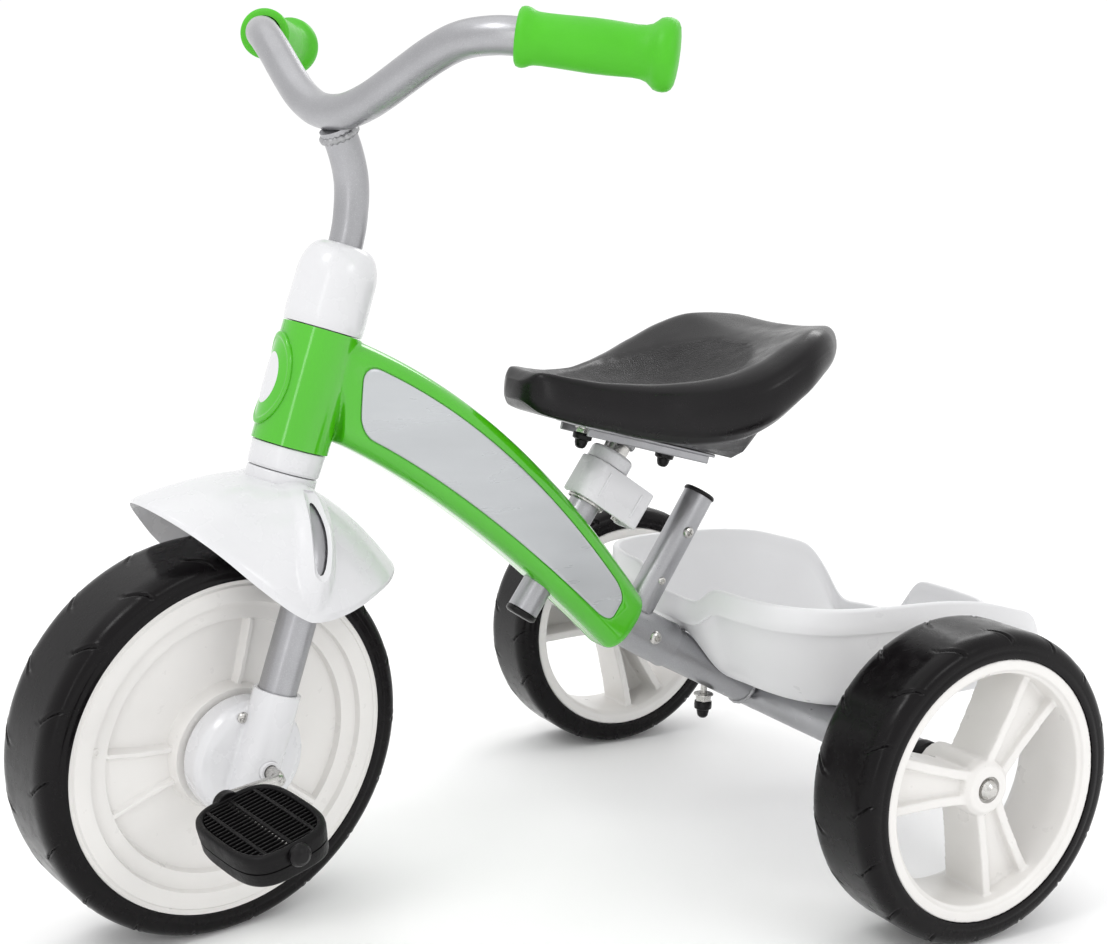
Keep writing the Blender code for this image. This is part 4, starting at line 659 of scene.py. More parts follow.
# ------------------------------------------------------------------ rear rims
SPOKES_R = [pi - radians(a) for a in (52.0, 172.0, 292.0)]
for side, sg in (("left", 1), ("right", -1)):
    yi, yo = RIN, ROUT
    body = "rear_wheel_" + side
    MH = F @ Matrix.Translation((0, 0, 0.104)) @ Matrix.Diagonal((1, sg, 1, 1))
    prof = [(0.0793, yi + 0.0004), (RRIM, yi + 0.0004), (RRIM, yo - 0.0004), (0.0800, yo - 0.0006), (0.0790, yo - 0.0030), (0.0768, yo - 0.0040),
            (0.0762, yo - 0.0300), (0.0768, yi + 0.0060)]
    v, f = lathe(prof, 128, "Y")
    rim = mesh_piece("rear_rim_moulded_" + side, v, f, Matrix.Identity(4), RIMM, None)
    v, f = lathe([(0, yi + 0.004), (0.0172, yi + 0.004), (0.0192, yo - 0.0140), (0.0180, yo - 0.0082), (0.0150, yo - 0.0050), (0, yo - 0.0046)], 72, "Y")
    cut(rim, tool(v, f), "UNION")
    for ang in SPOKES_R:
        d, t = Vector((cos(ang), 0, sin(ang))), Vector((-sin(ang), 0, cos(ang)))
        Y = Vector((0, 1, 0))
        def wide(r):
            return 0.0108 + 0.0100 * max(0.0, (r - 0.014) / 0.066) ** 1.35
        # web between two ribs, then a rib down each edge
        rows = []
        steps = [0.012 + 0.0665 * k / 16 for k in range(17)]
        for r in steps:
            w = wide(r) - 0.0006
            y_out = yo - 0.0128 - 0.006 * ((r - 0.012) / 0.0665)
            rows.append([d * r + t * w + Y * y_out, d * r - t * w + Y * y_out, d * r - t * w + Y * (y_out - 0.0036), d * r + t * w + Y * (y_out - 0.0036)])
        v, f = rows_mesh(rows, caps=True)
        cut(rim, tool(v, f), "UNION")
        for s in (1, -1):
            rows = []
            for r in steps:
                w1 = wide(r) + 0.0003
                w0 = w1 - 0.0064
                y_out = yo - 0.0078 - 0.0034 * ((r - 0.012) / 0.0665) ** 0.6
                y_in = yi + 0.016 - 0.006 * ((r - 0.012) / 0.0665)
                rows.append([d * r + t * (s * w1) + Y * y_out, d * r + t * (s * w0) + Y * y_out, d * r + t * (s * w0) + Y * y_in,
                             d * r + t * (s * w1) + Y * y_in])
            v, f = rows_mesh(rows, caps=True)
            cut(rim, tool(v, f), "UNION")
    remesh(rim, 0.00095, 3)
    v, f = lathe([(0, yo - 0.0082), (0.0088, yo - 0.0082), (0.0092, yo + 0.01), (0, yo + 0.01)], 48, "Y")
    cut(rim, tool(v, f))
    v, f = lathe([(0, yi - 0.01), (0.0043, yi - 0.01), (0.0043, yo + 0.01), (0, yo + 0.01)], 32, "Y")
    cut(rim, tool(v, f))
    reduce(rim, 0.42)
    rim.data.transform(MH)
    if sg < 0:
        rim.data.flip_normals()
    resharp(rim, 50)
    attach(rim, body)
    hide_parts("rear_rim_" + side)
    nut = [(0, yo - 0.0076), (0.0070, yo - 0.0076), (0.0070, yo - 0.0060), (0.0066, yo - 0.0045), (0.0052, yo - 0.0022), (0.0030, yo - 0.0008), (0, yo - 0.0003)]
    turned("axle_cap_" + side, nut, MH, STEEL, "frame", n=48, axis="Y", rnd=0.0004, replace="axle_nut_" + side, slot="zinc_steel")

# ------------------------------------------------------------------ crank and pedals
ca = radians(-21.5)
cx, cz = 0.041 * cos(ca), 0.041 * sin(ca)
PY0, PY1 = 0.0935, 0.1710


def arc_path(points, radius, n=8):
    p = [Vector(q) for q in points]
    out = [p[0]]
    for i in range(1, len(p) - 1):
        a, b = (p[i - 1] - p[i]).normalized(), (p[i + 1] - p[i]).normalized()
        ang = a.angle(b)
        d = radius / tan(ang / 2)
        s, e = p[i] + a * d, p[i] + b * d
        c = p[i] + (a + b).normalized() * (radius / sin(ang / 2))
        w = pi - ang
        for k in range(n + 1):
            t = k / n
            out.append(c + ((s - c) * sin((1 - t) * w) + (e - c) * sin(t * w)) / sin(w))
    out.append(p[-1])
    return out


crank = arc_path([(-cx, -(PY1 + 0.0045), -cz), (-cx, -0.0870, -cz), (0, -0.0870, 0), (0, 0.0870, 0), (cx, 0.0870, cz), (cx, PY1 + 0.0045, cz)], 0.0065)
swept("crank_rod_bent", crank, 0.0040, S, STEEL, "front_wheel", n=28, edge=0.0006, replace="crank_rod", slot="zinc_steel")


def pedal(side, sg):
    M = S @ Matrix.Translation((sg * cx, 0, sg * cz)) @ Matrix.Rotation(radians(30.0), 4, "Y")
    ym, hy, hx = (PY0 + PY1) / 2, (PY1 - PY0) / 2, 0.0290
    top, bot = 0.0058, -0.0142
    n = 96
    def loop(shrink, z, p=3.4, waist=0.0):
        out = []
        for k in range(n):
            a = 2 * pi * k / n
            c, s = cos(a), sin(a)
            e = 2 / p
            x = (hx - shrink) * abs(c) ** e * (1 if c >= 0 else -1)
            y = (hy - shrink) * abs(s) ** e * (1 if s >= 0 else -1)
            out.append((x * (1 - waist * cos(pi * y / (2 * hy)) ** 2), sg * (ym + y), z))
        return out
    rows = [loop(0.0046, bot), loop(0.0026, bot + 0.0003), loop(0.0014, bot + 0.0012), loop(0.0009, bot + 0.0026), loop(0.0006, bot + 0.0090),
            loop(0.0012, bot + 0.0093), loop(0.0012, bot + 0.0099), loop(0.0004, bot + 0.0102),
            loop(0.0, top - 0.0036), loop(0.0003, top - 0.0014), loop(0.0011, top - 0.0004), loop(0.0020, top), loop(0.0034, top),
            loop(0.0040, top - 0.0004), loop(0.0043, top - 0.0012), loop(0.0045, top - 0.0030)]
    v, f = rows_mesh(rows, caps=True)
    base = mesh_piece("pedal_base", v, f, M, RIBBED, None, sharp=45)
    parts = [base]
    # fine raised ribs across the tread, with a plain cross band in the middle
    for i in range(19):
        y = -hy + 0.0066 + i * (2 * hy - 0.0132) / 18
        half = (hx - 0.0047) * (max(0.0, 1 - (abs(y) / (hy - 0.0035)) ** 3.4)) ** (1 / 3.4)
        if half < 0.004:
            continue
        v, f = box_mesh((-half, sg * (ym + y) - 0.00055, top - 0.0034), (half, sg * (ym + y) + 0.00055, top - 0.0009))
        parts.append(mesh_piece("rib", v, f, M, RIBBED, None, bevel=0.0003))
    for x in (-0.0155, 0.0, 0.0155):
        v, f = box_mesh((x - 0.0011, sg * ym - hy + 0.0052, top - 0.0034), (x + 0.0011, sg * ym + hy - 0.0052, top - 0.0006))
        parts.append(mesh_piece("rib", v, f, M, RIBBED, None, bevel=0.0004))
    v, f = lathe([(0.0043, sg * (PY0 - 0.0030)), (0.0078, sg * (PY0 - 0.0030)), (0.0086, sg * (PY0 + 0.0040)), (0.0043, sg * (PY0 + 0.0040))], 40, "Y")
    parts.append(mesh_piece("sleeve", v, f, M, RIBBED, None, bevel=0.0005))
    join("pedal_moulded_" + side, parts, "pedal_" + side, RIBBED, replace="pedal_" + side)
    nut = [(0.0046, sg * (PY1 + 0.0004)), (0.0066, sg * (PY1 + 0.0004)), (0.0066, sg * (PY1 + 0.0030)), (0.0052, sg * (PY1 + 0.0050)), (0.0030, sg * (PY1 + 0.0062)),
           (0, sg * (PY1 + 0.0064)), (0, sg * (PY1 + 0.0049)), (0.0046, sg * (PY1 + 0.0049))]
    turned("pedal_cap_" + side, nut, S @ Matrix.Translation((sg * cx, 0, sg * cz)), BLACK, "front_wheel", n=40, axis="Y", rnd=0.0003,
           replace="pedal_nut_" + side, slot="black_plastic")


pedal("left", 1)
pedal("right", -1)

# ------------------------------------------------------------------ fork, housings and mudguard
LEG_R, LEG_Y = 0.0120, 0.0585
LEG = [(0, 0.0132, 0.1555), (0, 0.0230, 0.1545), (0, 0.0340, 0.1490), (0, 0.0450, 0.1405), (0, 0.0530, 0.1290), (0, 0.0575, 0.1160), (0, LEG_Y, 0.1030),
       (0, LEG_Y, 0.0700), (0, LEG_Y, 0.0200)]
for side, sg in (("left", 1), ("right", -1)):
    path = relax([Vector((x, sg * y, z)) for x, y, z in smooth_path(LEG, 8)], 3)
    swept("fork_leg_tube_" + side, path, LEG_R, S, SILVER, "steering", n=48, edge=0.0006, replace="fork_leg_" + side, slot="silver_paint")

leg_line = smooth_path([(0, -0.001, 0.1555)] + LEG, 6)


def leg_top(x, y, r):
    q = r * r - x * x
    if q <= 0:
        return -1.0
    best = -1.0
    for p in leg_line:
        d = q - (abs(y) - p.y) ** 2
        if d >= 0:
            best = max(best, p.z + sqrt(d))
    return best


COLLAR_IN, COLLAR_OUT = 0.0184, 0.0228


def hood_top(a, u):
    c = abs(cos(a))
    fwd = cos(a) > 0
    ze = 0.0985 + ((0.1365 if fwd else 0.1325) - 0.0985) * c ** 1.45
    bulge = (0.0030 + 0.0085 * (1 - c) ** 0.8) * max(0.0, sin(pi * u)) ** 0.9
    return 0.1660 + (ze - 0.1660) * (u ** (1.05 + 0.45 * (1 - c))) + bulge


def hood_radius(a, u):
    c = abs(cos(a))
    e = 0.0748 + ((0.0895 if cos(a) > 0 else 0.0935) - 0.0748) * c ** 4
    return COLLAR_OUT + (e - COLLAR_OUT) * u


def soft_max(a, b, k):
    if b < 0:
        return a
    h = max(0.0, min(1.0, 0.5 + 0.5 * (b - a) / k))
    return a * (1 - h) + b * h + k * h * (1 - h)


NH = 240
hus = [0, 0.02, 0.05, 0.09] + [0.13 + 0.82 * k / 40 for k in range(41)] + [0.97, 0.985, 0.995, 1.0]
angs = [2 * pi * k / NH for k in range(NH)]
outer_rows, inner_rows = [], []
for u in hus:
    ro, ri = [], []
    for a in angs:
        r = hood_radius(a, u)
        x, y = r * cos(a), r * sin(a)
        z = hood_top(a, u)
        s = (hood_top(a, min(1, u + 0.02)) - hood_top(a, max(0, u - 0.02))) / (hood_radius(a, min(1, u + 0.02)) - hood_radius(a, max(0, u - 0.02)))
        t = 0.0024 * min(2.0, sqrt(1 + s * s))
        zo = soft_max(z, leg_top(x, y, LEG_R + 0.0036), 0.005)
        zi = max(z - t, leg_top(x, y, LEG_R + 0.0012))
        if u > 0.98:
            zo -= 0.0006 * ((u - 0.98) / 0.02) ** 2
        ro.append((x, y, zo))
        ri.append((x, y, min(zi, zo - 0.0013)))
    outer_rows.append(ro)
    inner_rows.append(ri)
neck = [(COLLAR_IN * cos(a), COLLAR_IN * sin(a), min(0.1690, max(0.1610, leg_top(COLLAR_IN * cos(a), COLLAR_IN * sin(a), LEG_R + 0.0012)))) for a in angs]
def ringrow(r, z):
    return [(r * cos(a), r * sin(a), z) for a in angs]
rows = [neck, ringrow(COLLAR_IN, 0.1722), ringrow(COLLAR_IN + 0.0006, 0.1729), ringrow(COLLAR_OUT - 0.0010, 0.1729), ringrow(COLLAR_OUT - 0.0003, 0.1725),
        ringrow(COLLAR_OUT, 0.1716)] + outer_rows + inner_rows[::-1]
v, f = rows_mesh(rows, wrap_rows=True)
hood = mesh_piece("mudguard_moulded", v, f, S, WHITE, None, sharp=50, tri=True)
for sg in (1, -1):
    sp = relax(smooth_path([(0.0004, sg * 0.0400, 0.1740), (0.0003, sg * 0.0570, 0.1585), (0.0001, sg * 0.0700, 0.1410), (-0.0001, sg * 0.0780, 0.1270),
                            (-0.0002, sg * 0.0815, 0.1170)], 8), 2)
    ns = len(sp) - 1
    v, f = tube(sp, [0.0100 * sqrt(max(0.02, 1 - max(0.0, (k / ns - 0.72) / 0.28) ** 2)) for k in range(ns + 1)], 40)
    cut(hood, tool(v, f, S))
resharp(hood, 42)
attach(hood, "steering")
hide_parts("mudguard")

for side, sg in (("left", 1), ("right", -1)):
    pr = [(0, 0.0336), (0.0340, 0.0336), (0.0374, 0.0352), (0.0376, 0.0480), (0.0352, 0.0528), (0.0300, 0.0550), (0, 0.0562)]
    v, f = lathe(rounded(pr, 0.0016), 96, "Y")
    hs = mesh_piece("hub_housing_moulded_" + side, v, f, Matrix.Diagonal((1, sg, 1, 1)), WHITE, None)
    arm = [(0, -0.0225), (0.0100, -0.0225), (0.0142, -0.0180), (0.0147, -0.0100), (0.0148, 0.0200), (0.0148, 0.0480), (0, 0.0480)]
    v, f = lathe(arm, 64)
    cut(hs, tool(v, f, Matrix.Translation((0, sg * LEG_Y, 0))), "UNION")
    remesh(hs, 0.0008, 5)
    v, f = lathe([(0, 0.0462), (0.030, 0.0462), (0.030, 0.070), (0, 0.070)], 48)
    cut(hs, tool(v, f, Matrix.Translation((0, sg * LEG_Y, 0))))
    v, f = lathe([(0, 0.0195), (LEG_R + 0.0002, 0.0195), (LEG_R + 0.0002, 0.0452), (LEG_R + 0.0008, 0.0480), (0, 0.0480)], 48)
    cut(hs, tool(v, f, Matrix.Translation((0, sg * LEG_Y, 0))))
    v, f = lathe([(0, 0.020), (0.0066, 0.020), (0.0066, 0.090), (0, 0.090)], 40, "Y")
    cut(hs, tool(v, f, Matrix.Diagonal((1, sg, 1, 1))))
    reduce(hs, 0.5)
    hs.data.transform(S)
    resharp(hs, 45)
    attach(hs, "steering")
    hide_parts("hub_housing_" + side)
    for q in ((0.0165, 0.0530, 0.0265), (-0.0230, 0.0530, -0.0110)):
        cross_screw("housing_screw_%s_%d" % (side, 1 if q[0] > 0 else 2), S @ facing((q[0], sg * (q[1] + 0.0019), q[2]), (0, sg, 0)), 0.0036, 0.0018, STEEL, "steering")
    turned("axle_bush_moulded_" + side, [(0.0043, 0.0338), (0.0064, 0.0338), (0.0064, 0.0745), (0.0043, 0.0745)],
           S @ Matrix.Diagonal((1, sg, 1, 1)), WHITE, "steering", n=48, axis="Y", rnd=0.0004, replace="axle_bush_" + side, slot="black_plastic")

# ------------------------------------------------------------------ head: collar, cap, stem, bar, grips
turned("lower_collar_moulded", [(0.0114, 0.1735), (0.0226, 0.1735), (0.0232, 0.1750), (0.0238, 0.1889), (0.0209, 0.1889), (0.0209, 0.1785), (0.0114, 0.1785)],
       S, WHITE, "steering", n=96, rnd=0.0006, replace="lower_collar", slot="white_plastic")
capp = [(0.0250, 0.2664), (0.0256, 0.2672), (0.0260, 0.2740)] + [(0.0260 - 0.0001 * k, 0.2760 + 0.0040 * k) for k in range(6)]
for k in range(0, 11):
    a = radians(9 * k)
    capp.append((0.0120 + 0.0136 * cos(a) ** 0.9 if k < 10 else 0.0120, 0.2975 + 0.0232 * sin(a)))
capp += [(0.0116, 0.3206), (0.0115, 0.3150), (0.0200, 0.3080), (0.0233, 0.2985), (0.0228, 0.2664)]
turned("steering_cap_moulded", capp, S, WHITE, "steering", n=96, replace="steering_cap", slot="white_plastic", sharp=40)

BAR = [(0.036, 0.000, 0.3950), (0.036, 0.018, 0.3970), (0.036, 0.040, 0.4052), (0.036, 0.062, 0.4180), (0.0355, 0.085, 0.4322), (0.0335, 0.105, 0.4425),
       (0.0275, 0.1225, 0.4480), (0.0185, 0.1365, 0.4512), (-0.0070, 0.16324, 0.45615), (-0.0330, 0.1905, 0.4612)]
left = smooth_path(BAR, 10)
full = relax([Vector((p.x, -p.y, p.z)) for p in left[:0:-1]] + left, 10)
swept("handlebar_bent", full, 0.0110, S, SILVER, "steering", n=56, edge=0.0006, replace="handlebar_tube", slot="silver_paint")
stem = relax(smooth_path([(0, 0, 0.2300), (0, 0, 0.2800), (0, 0, 0.3200), (0.0024, 0, 0.3400), (0.0085, 0, 0.3600), (0.0190, 0, 0.3765), (0.0300, 0, 0.3880)], 10), 4)
swept("stem_bent", stem, 0.0110, S, SILVER, "steering", n=56, replace=("handlebar_stem", "steerer_tube"), slot="silver_paint")
swept("steerer_lower", [Vector((0, 0, 0.1435)), Vector((0, 0, 0.19)), Vector((0, 0, 0.235))], 0.0110, S, SILVER, "steering", n=40, slot="silver_paint")
sd = (stem[-1] - stem[-4]).normalized()
weld("stem_weld", Vector((0.0262, 0, 0.3846)), sd, 0.0112, 0.0022, S, "steering")

g0, g1 = Vector(BAR[7]), Vector(BAR[9])
gd = (g1 - g0).normalized()
for side, sg in (("left", 1), ("right", -1)):
    d = Vector((gd.x, sg * gd.y, gd.z))
    start = Vector((g0.x, sg * g0.y, g0.z)) + d * 0.0005
    M = S @ facing(start, d)
    outer = [(0.0118, 0.0), (0.0150, -0.0002), (0.0163, 0.0006), (0.0169, 0.0022), (0.0170, 0.0040), (0.0164, 0.0062), (0.0154, 0.0082), (0.0148, 0.0105),
             (0.0146, 0.0150), (0.0147, 0.0220), (0.0150, 0.0320), (0.0153, 0.0420), (0.0152, 0.0520), (0.0148, 0.0610), (0.0146, 0.0665), (0.0149, 0.0710),
             (0.0160, 0.0745), (0.0180, 0.0770), (0.0196, 0.0788), (0.0204, 0.0815), (0.0205, 0.0842), (0.0199, 0.0868), (0.0184, 0.0888), (0.0158, 0.0901),
             (0.0110, 0.0909), (0.0055, 0.0913), (0, 0.0914), (0, 0.0760), (0.0119, 0.0755)]
    turned("grip_moulded_" + side, outer, M, GRIPM, "steering", n=96, replace="grip_" + side, slot="green_rubber", sharp=60)

# ------------------------------------------------------------------ frame covers
TOPC = ((0.352, 0.379), (0.270, 0.350), (0.195, 0.290), (0.1205, 0.1905))
BOTC = ((0.352, 0.3085), (0.290, 0.2790), (0.215, 0.2200), (0.1475, 0.1535))
COVER_W = 0.0205


def beam_section(t, inset=0.0):
    a, b = bezier(*TOPC, min(t, 1.0)), bezier(*BOTC, min(t, 1.0))
    a, b = Vector((a[0], 0, a[1])), Vector((b[0], 0, b[1]))
    up = (a - b).normalized()
    back = Vector((-up.z, 0, up.x))
    c, h = (a + b) / 2, (a - b).length / 2
    w = COVER_W
    if t > 1:
        q = t - 1
        c = c + back * (0.0085 * sin(q * pi / 2))
        k = cos(q * pi / 2 * 0.72)
        h *= k
        w *= 0.45 + 0.55 * k
    return c, h - inset, w - inset, up


def beam_rows(ts, inset, corner, per=7):
    rows = []
    for t in ts:
        c, h, w, up = beam_section(t, inset)
        r = min(corner, h * 0.98, w * 0.98)
        row = []
        for qx, qz, a0 in ((1, 1, 0), (-1, 1, pi / 2), (-1, -1, pi), (1, -1, 3 * pi / 2)):
            for k in range(per + 1):
                a = a0 + pi / 2 * k / per
                row.append(c + Vector((0, qx * (w - r) + r * cos(a), 0)) + up * (qz * (h - r) + r * sin(a)))
        rows.append(row)
    return rows


def panel_outline(grow, t0=0.055, t1=0.955, n=120):
    up_side, low_side = [], []
    for k in range(n + 1):
        u = sin(pi * (k / n - 0.5))
        t = (t0 + t1) / 2 + (t1 - t0) / 2 * u * (1 + grow / 0.11)
        c, h, w, up = beam_section(t)
        e = 0.90
        q = max(0.0, (abs(u) - e) / (1 - e))
        f = 1.0 if abs(u) <= e else 0.45 + 0.55 * sqrt(max(0.0, 1 - q * q))
        half = (h - 0.0125 + grow) * f
        p, q2 = c + up * half, c - up * half
        up_side.append((p.x, p.z))
        low_side.append((q2.x, q2.z))
    pts = up_side + low_side[::-1]
    out = []
    for p in pts:
        if not out or hypot(p[0] - out[-1][0], p[1] - out[-1][1]) > 3e-4:
            out.append(p)
    if hypot(out[0][0] - out[-1][0], out[0][1] - out[-1][1]) < 3e-4:
        out.pop()
    # ease the corners of the outline
    q = [Vector(p) for p in out]
    for _ in range(3):
        q = [(q[i - 1] + 2 * q[i] + q[(i + 1) % len(q)]) / 4 for i in range(len(q))]
    return [tuple(p) for p in q]


stations = [k / 60 for k in range(61)] + [1 + k / 12 for k in range(1, 13)]
v, f = rows_mesh(beam_rows(stations, 0.0, 0.0125), caps=True)
cover = mesh_piece("frame_cover_moulded", v, f, F, GREEN, None, tri=True)
v, f = lathe([(0, 0.176), (0.0250, 0.176), (0.0250, 0.279), (0, 0.279)], 96)
cut(cover, tool(v, f, HEAD), "UNION")
remesh(cover, 0.0012, 9)
v, f = lathe([(0, 0.2657), (0.060, 0.2657), (0.060, 0.30), (0, 0.30)], 48)
cut(cover, tool(v, f, HEAD))
v, f = lathe([(0, 0.15), (0.045, 0.15), (0.045, 0.1896), (0, 0.1896)], 48)
cut(cover, tool(v, f, HEAD))
v, f = lathe([(0, 0.17), (0.0222, 0.17), (0.0222, 0.29), (0, 0.29)], 72)
cut(cover, tool(v, f, HEAD))
v, f = lathe([(0, -0.03), (0.0114, -0.03), (0.0114, 0.15), (0, 0.15)], 48)
cut(cover, tool(v, f, SEAT))
v, f = lathe([(0, -0.03), (0.0117, -0.03), (0.0117, 0.09), (0, 0.09)], 48)
cut(cover, tool(v, f, PUSH))
for sg in (1, -1):
    a = [(x, sg * 0.0192, z) for x, z in panel_outline(0.0005)]
    b = [(x, sg * 0.0200, z) for x, z in panel_outline(0.0006)]
    c = [(x, sg * 0.0212, z) for x, z in panel_outline(0.0022)]
    d = [(x, sg * 0.0260, z) for x, z in panel_outline(0.0024)]
    m = min(len(a), len(b), len(c), len(d))
    def resample(loop):
        L = [0.0]
        for i in range(len(loop)):
            p, q = Vector(loop[i]), Vector(loop[(i + 1) % len(loop)])
            L.append(L[-1] + (q - p).length)
        out = []
        for k in range(200):
            s = L[-1] * k / 200
            i = bisect_right(L, s) - 1
            i = min(i, len(loop) - 1)
            p, q = Vector(loop[i]), Vector(loop[(i + 1) % len(loop)])
            out.append(p.lerp(q, (s - L[i]) / max(1e-9, L[i + 1] - L[i])))
        return out
    v, f = rows_mesh([resample(r) for r in (a, b, c, d)], caps=True)
    cut(cover, tool(v, f, F))
v, f = box_mesh((-0.2, -0.00016, -0.2), (0.8, 0.00016, 0.8))
cut(cover, tool(v, f))
reduce(cover, 0.6)
resharp(cover, 38)
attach(cover, "frame")
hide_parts("frame_cover_left", "frame_cover_right")
for side, sg in (("left", 1), ("right", -1)):
    rowsp = []
    for y, g in ((0.0194, -0.0002), (0.0203, -0.0002), (0.0207, -0.0007), (0.0209, -0.0016), (0.0210, -0.0032)):
        rowsp.append([Vector(p) for p in resample([(x, sg * y, z) for x, z in panel_outline(g)])])
    v, f = rows_mesh(rowsp, caps=True)
    mesh_piece("side_panel_moulded_" + side, v, f, F, PANEL, "frame", replace="side_panel_" + side, slot="grey_panel", sharp=30)



def oval_patch(name, half, rise, z0, profile, mat, replace=()):
    """Oval plate wrapped round the head cover; profile is (share of the oval, radius) from its middle outwards and back."""
    n = 120
    rows = []
    for rho, r in profile:
        row = []
        for k in range(n):
            a = 2 * pi * k / n
            f = rho * half / 0.025 * cos(a)
            row.append((r * cos(f), r * sin(f), z0 + rho * rise * sin(a)))
        rows.append(row)
    v, f = rows_mesh(rows, wrap_rows=True)
    return mesh_piece(name, v, f, HEAD, mat, "frame", replace=replace, slot="green_plastic" if mat is GREEN else "white_plastic", sharp=50)


oval_patch("head_badge_moulded", 0.0190, 0.0300, 0.2280,
           [(0.02, 0.0264)] + [(k / 10, 0.0264) for k in range(1, 9)] + [(0.850, 0.02640), (0.865, 0.02655), (0.880, 0.0269), (0.905, 0.0271), (0.940, 0.0271),
            (0.965, 0.0269), (0.985, 0.0265), (1.0, 0.0258), (1.0, 0.0246)] + [(k / 10, 0.0246) for k in range(9, 0, -1)] + [(0.02, 0.0246)],
           GREEN, "head_badge")
oval_patch("head_badge_inlay", 0.0100, 0.0165, 0.2280,
           [(0.02, 0.0269)] + [(k / 10, 0.0269) for k in range(1, 9)] + [(0.90, 0.02685), (0.96, 0.0267), (1.0, 0.0264), (1.0, 0.0262)]
           + [(k / 10, 0.0262) for k in range(9, 0, -1)] + [(0.02, 0.0262)], WHITE)

# ------------------------------------------------------------------ frame tubes
h0 = (0.433 - 0.228 * sin(TILT), FR + LIFT + 0.228 * cos(TILT))
SPINE = [(h0[0] - 0.0192 * 0.94, 0, h0[1] - 0.0192 * 0.34), (0.322, 0, 0.3275), (0.292, 0, 0.3130), (0.255, 0, 0.2880), (0.215, 0, 0.2520), (0.178, 0, 0.2140),
         (0.146, 0, 0.1820), (0.120, 0, 0.1640), (0.095, 0, 0.1505), (0.060, 0, 0.1318), (0.0175, 0, 0.1098)]
spath = relax(smooth_path(SPINE, 6), 4)
swept("spine_bent", spath, 0.0150, F, SILVER, "frame", n=56, replace="spine_tube", slot="silver_paint")
slp = [p for p in spath if 0.0885 < p.x < 0.1325]
slp = [Vector((0.1330, 0, 0.1730))] + slp + [Vector((0.0880, 0, 0.14676))]
swept("sleeve_swaged", slp, [0.0168] * (len(slp) - 2) + [0.0171, 0.0172], F, SILVER, "frame", n=64, bore=0.0152, edge=0.0007, replace="spine_sleeve",
      slot="silver_paint")
v, f = lathe(rounded([(0.0135, -0.1800), (0.0155, -0.1800), (0.0155, 0.1800), (0.0135, 0.1800)], 0.0005), 64, "Y")
mesh_piece("rear_axle_tube_drawn", v, f, F @ Matrix.Translation((0, 0, 0.1015)), SILVER, "frame", replace="rear_axle_tube", slot="silver_paint")
cross_screw("sleeve_screw_head", F @ facing((0.1085, 0.0166, 0.1580), (0, 1, 0)), 0.0048, 0.0030, STEEL, "frame", kind="hex", replace="sleeve_screw")
weld("axle_weld", Vector((0.0165, 0, 0.1088)), Vector((-0.87, 0, -0.45)), 0.0150, 0.0016, F, "frame")
for side, sg in (("left", 1), ("right", -1)):
    turned("axle_plug_moulded_" + side, [(0.0042, 0.1700), (0.0132, 0.1700), (0.0132, 0.1803), (0.0153, 0.1803), (0.0153, 0.1880), (0.0120, 0.1905), (0.0042, 0.1905)],
           F @ Matrix.Translation((0, 0, 0.1026)) @ Matrix.Diagonal((1, sg, 1, 1)), BLACK, "frame", n=56, axis="Y", rnd=0.0006,
           replace="rear_axle_plug_" + side, slot="black_plastic")

v, f = lathe(rounded([(0.0097, -0.0110), (0.0112, -0.0110), (0.0112, 0.0870), (0.0097, 0.0870)], 0.0004), 64)
sock = mesh_piece("push_socket_drawn", v, f, PUSH, SILVER, None)
v, f = tube(slp, 0.0170, 48)
cut(sock, tool(v, f, F))
resharp(sock, 40)
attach(sock, "frame")
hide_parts("push_bar_socket")
turned("push_cap_moulded", [(0, 0.0780), (0.0095, 0.0780), (0.0095, 0.0871), (0.0118, 0.0871), (0.0120, 0.0885), (0.0112, 0.0900), (0.0040, 0.0900), (0, 0.0900)],
       PUSH, BLACK, "frame", n=64, rnd=0.0005, replace="push_bar_cap", slot="black_plastic")
cross_screw("socket_screw_head", PUSH @ facing((0, 0.0110, 0.0580), (0, 1, 0)), 0.0042, 0.0024, STEEL, "frame")
cross_screw("socket_screw_head_low", PUSH @ facing((0, 0.0110, 0.0180), (0, 1, 0)), 0.0030, 0.0012, STEEL, "frame", kind="hex")

v, f = lathe(rounded([(0.0096, 0.0012), (0.0110, 0.0012), (0.0110, 0.1060), (0.0096, 0.1060)], 0.0004), 64)
mesh_piece("seat_tube_drawn", v, f, SEAT, SILVER, "frame", replace="seat_tube", slot="silver_paint")
turned("seat_tube_plug_moulded", [(0, -0.0034), (0.0096, -0.0034), (0.0113, -0.0022), (0.0113, 0.0008), (0.0090, 0.0008), (0.0090, 0.0100), (0, 0.0100)], SEAT, BLACK,
       "frame", n=56, rnd=0.0004, replace="seat_tube_plug", slot="black_plastic")
turned("seat_post_drawn", [(0.0074, 0.0450), (0.0092, 0.0450), (0.0092, 0.1393), (0.0074, 0.1393)], SEAT, STEEL, "seat", n=64, rnd=0.0003, replace="seat_post",
       slot="silver_paint")
turned("seat_collar_moulded", [(0.0095, 0.1064), (0.0125, 0.1064), (0.0125, 0.1184), (0.0160, 0.1184), (0.0160, 0.1270), (0.0148, 0.1288), (0.0095, 0.1288)],
       SEAT, WHITE, "frame", n=72, rnd=0.0008, replace="seat_collar", slot="white_plastic")
v, f = lathe(rounded([(0.0112, 0.0880), (0.0136, 0.0880), (0.0136, 0.0905), (0.0131, 0.0912), (0.0131, 0.1055), (0.0112, 0.1055)], 0.0003), 64)
cr = mesh_piece("clamp_ring_pressed", v, f, SEAT, STEEL, None)
v, f = box_mesh((-0.0350, -0.0050, 0.0925), (-0.0121, 0.0008, 0.1045))
ear = tool(v, f, SEAT)
round_edges(ear, 0.0016)
apply_all(ear)
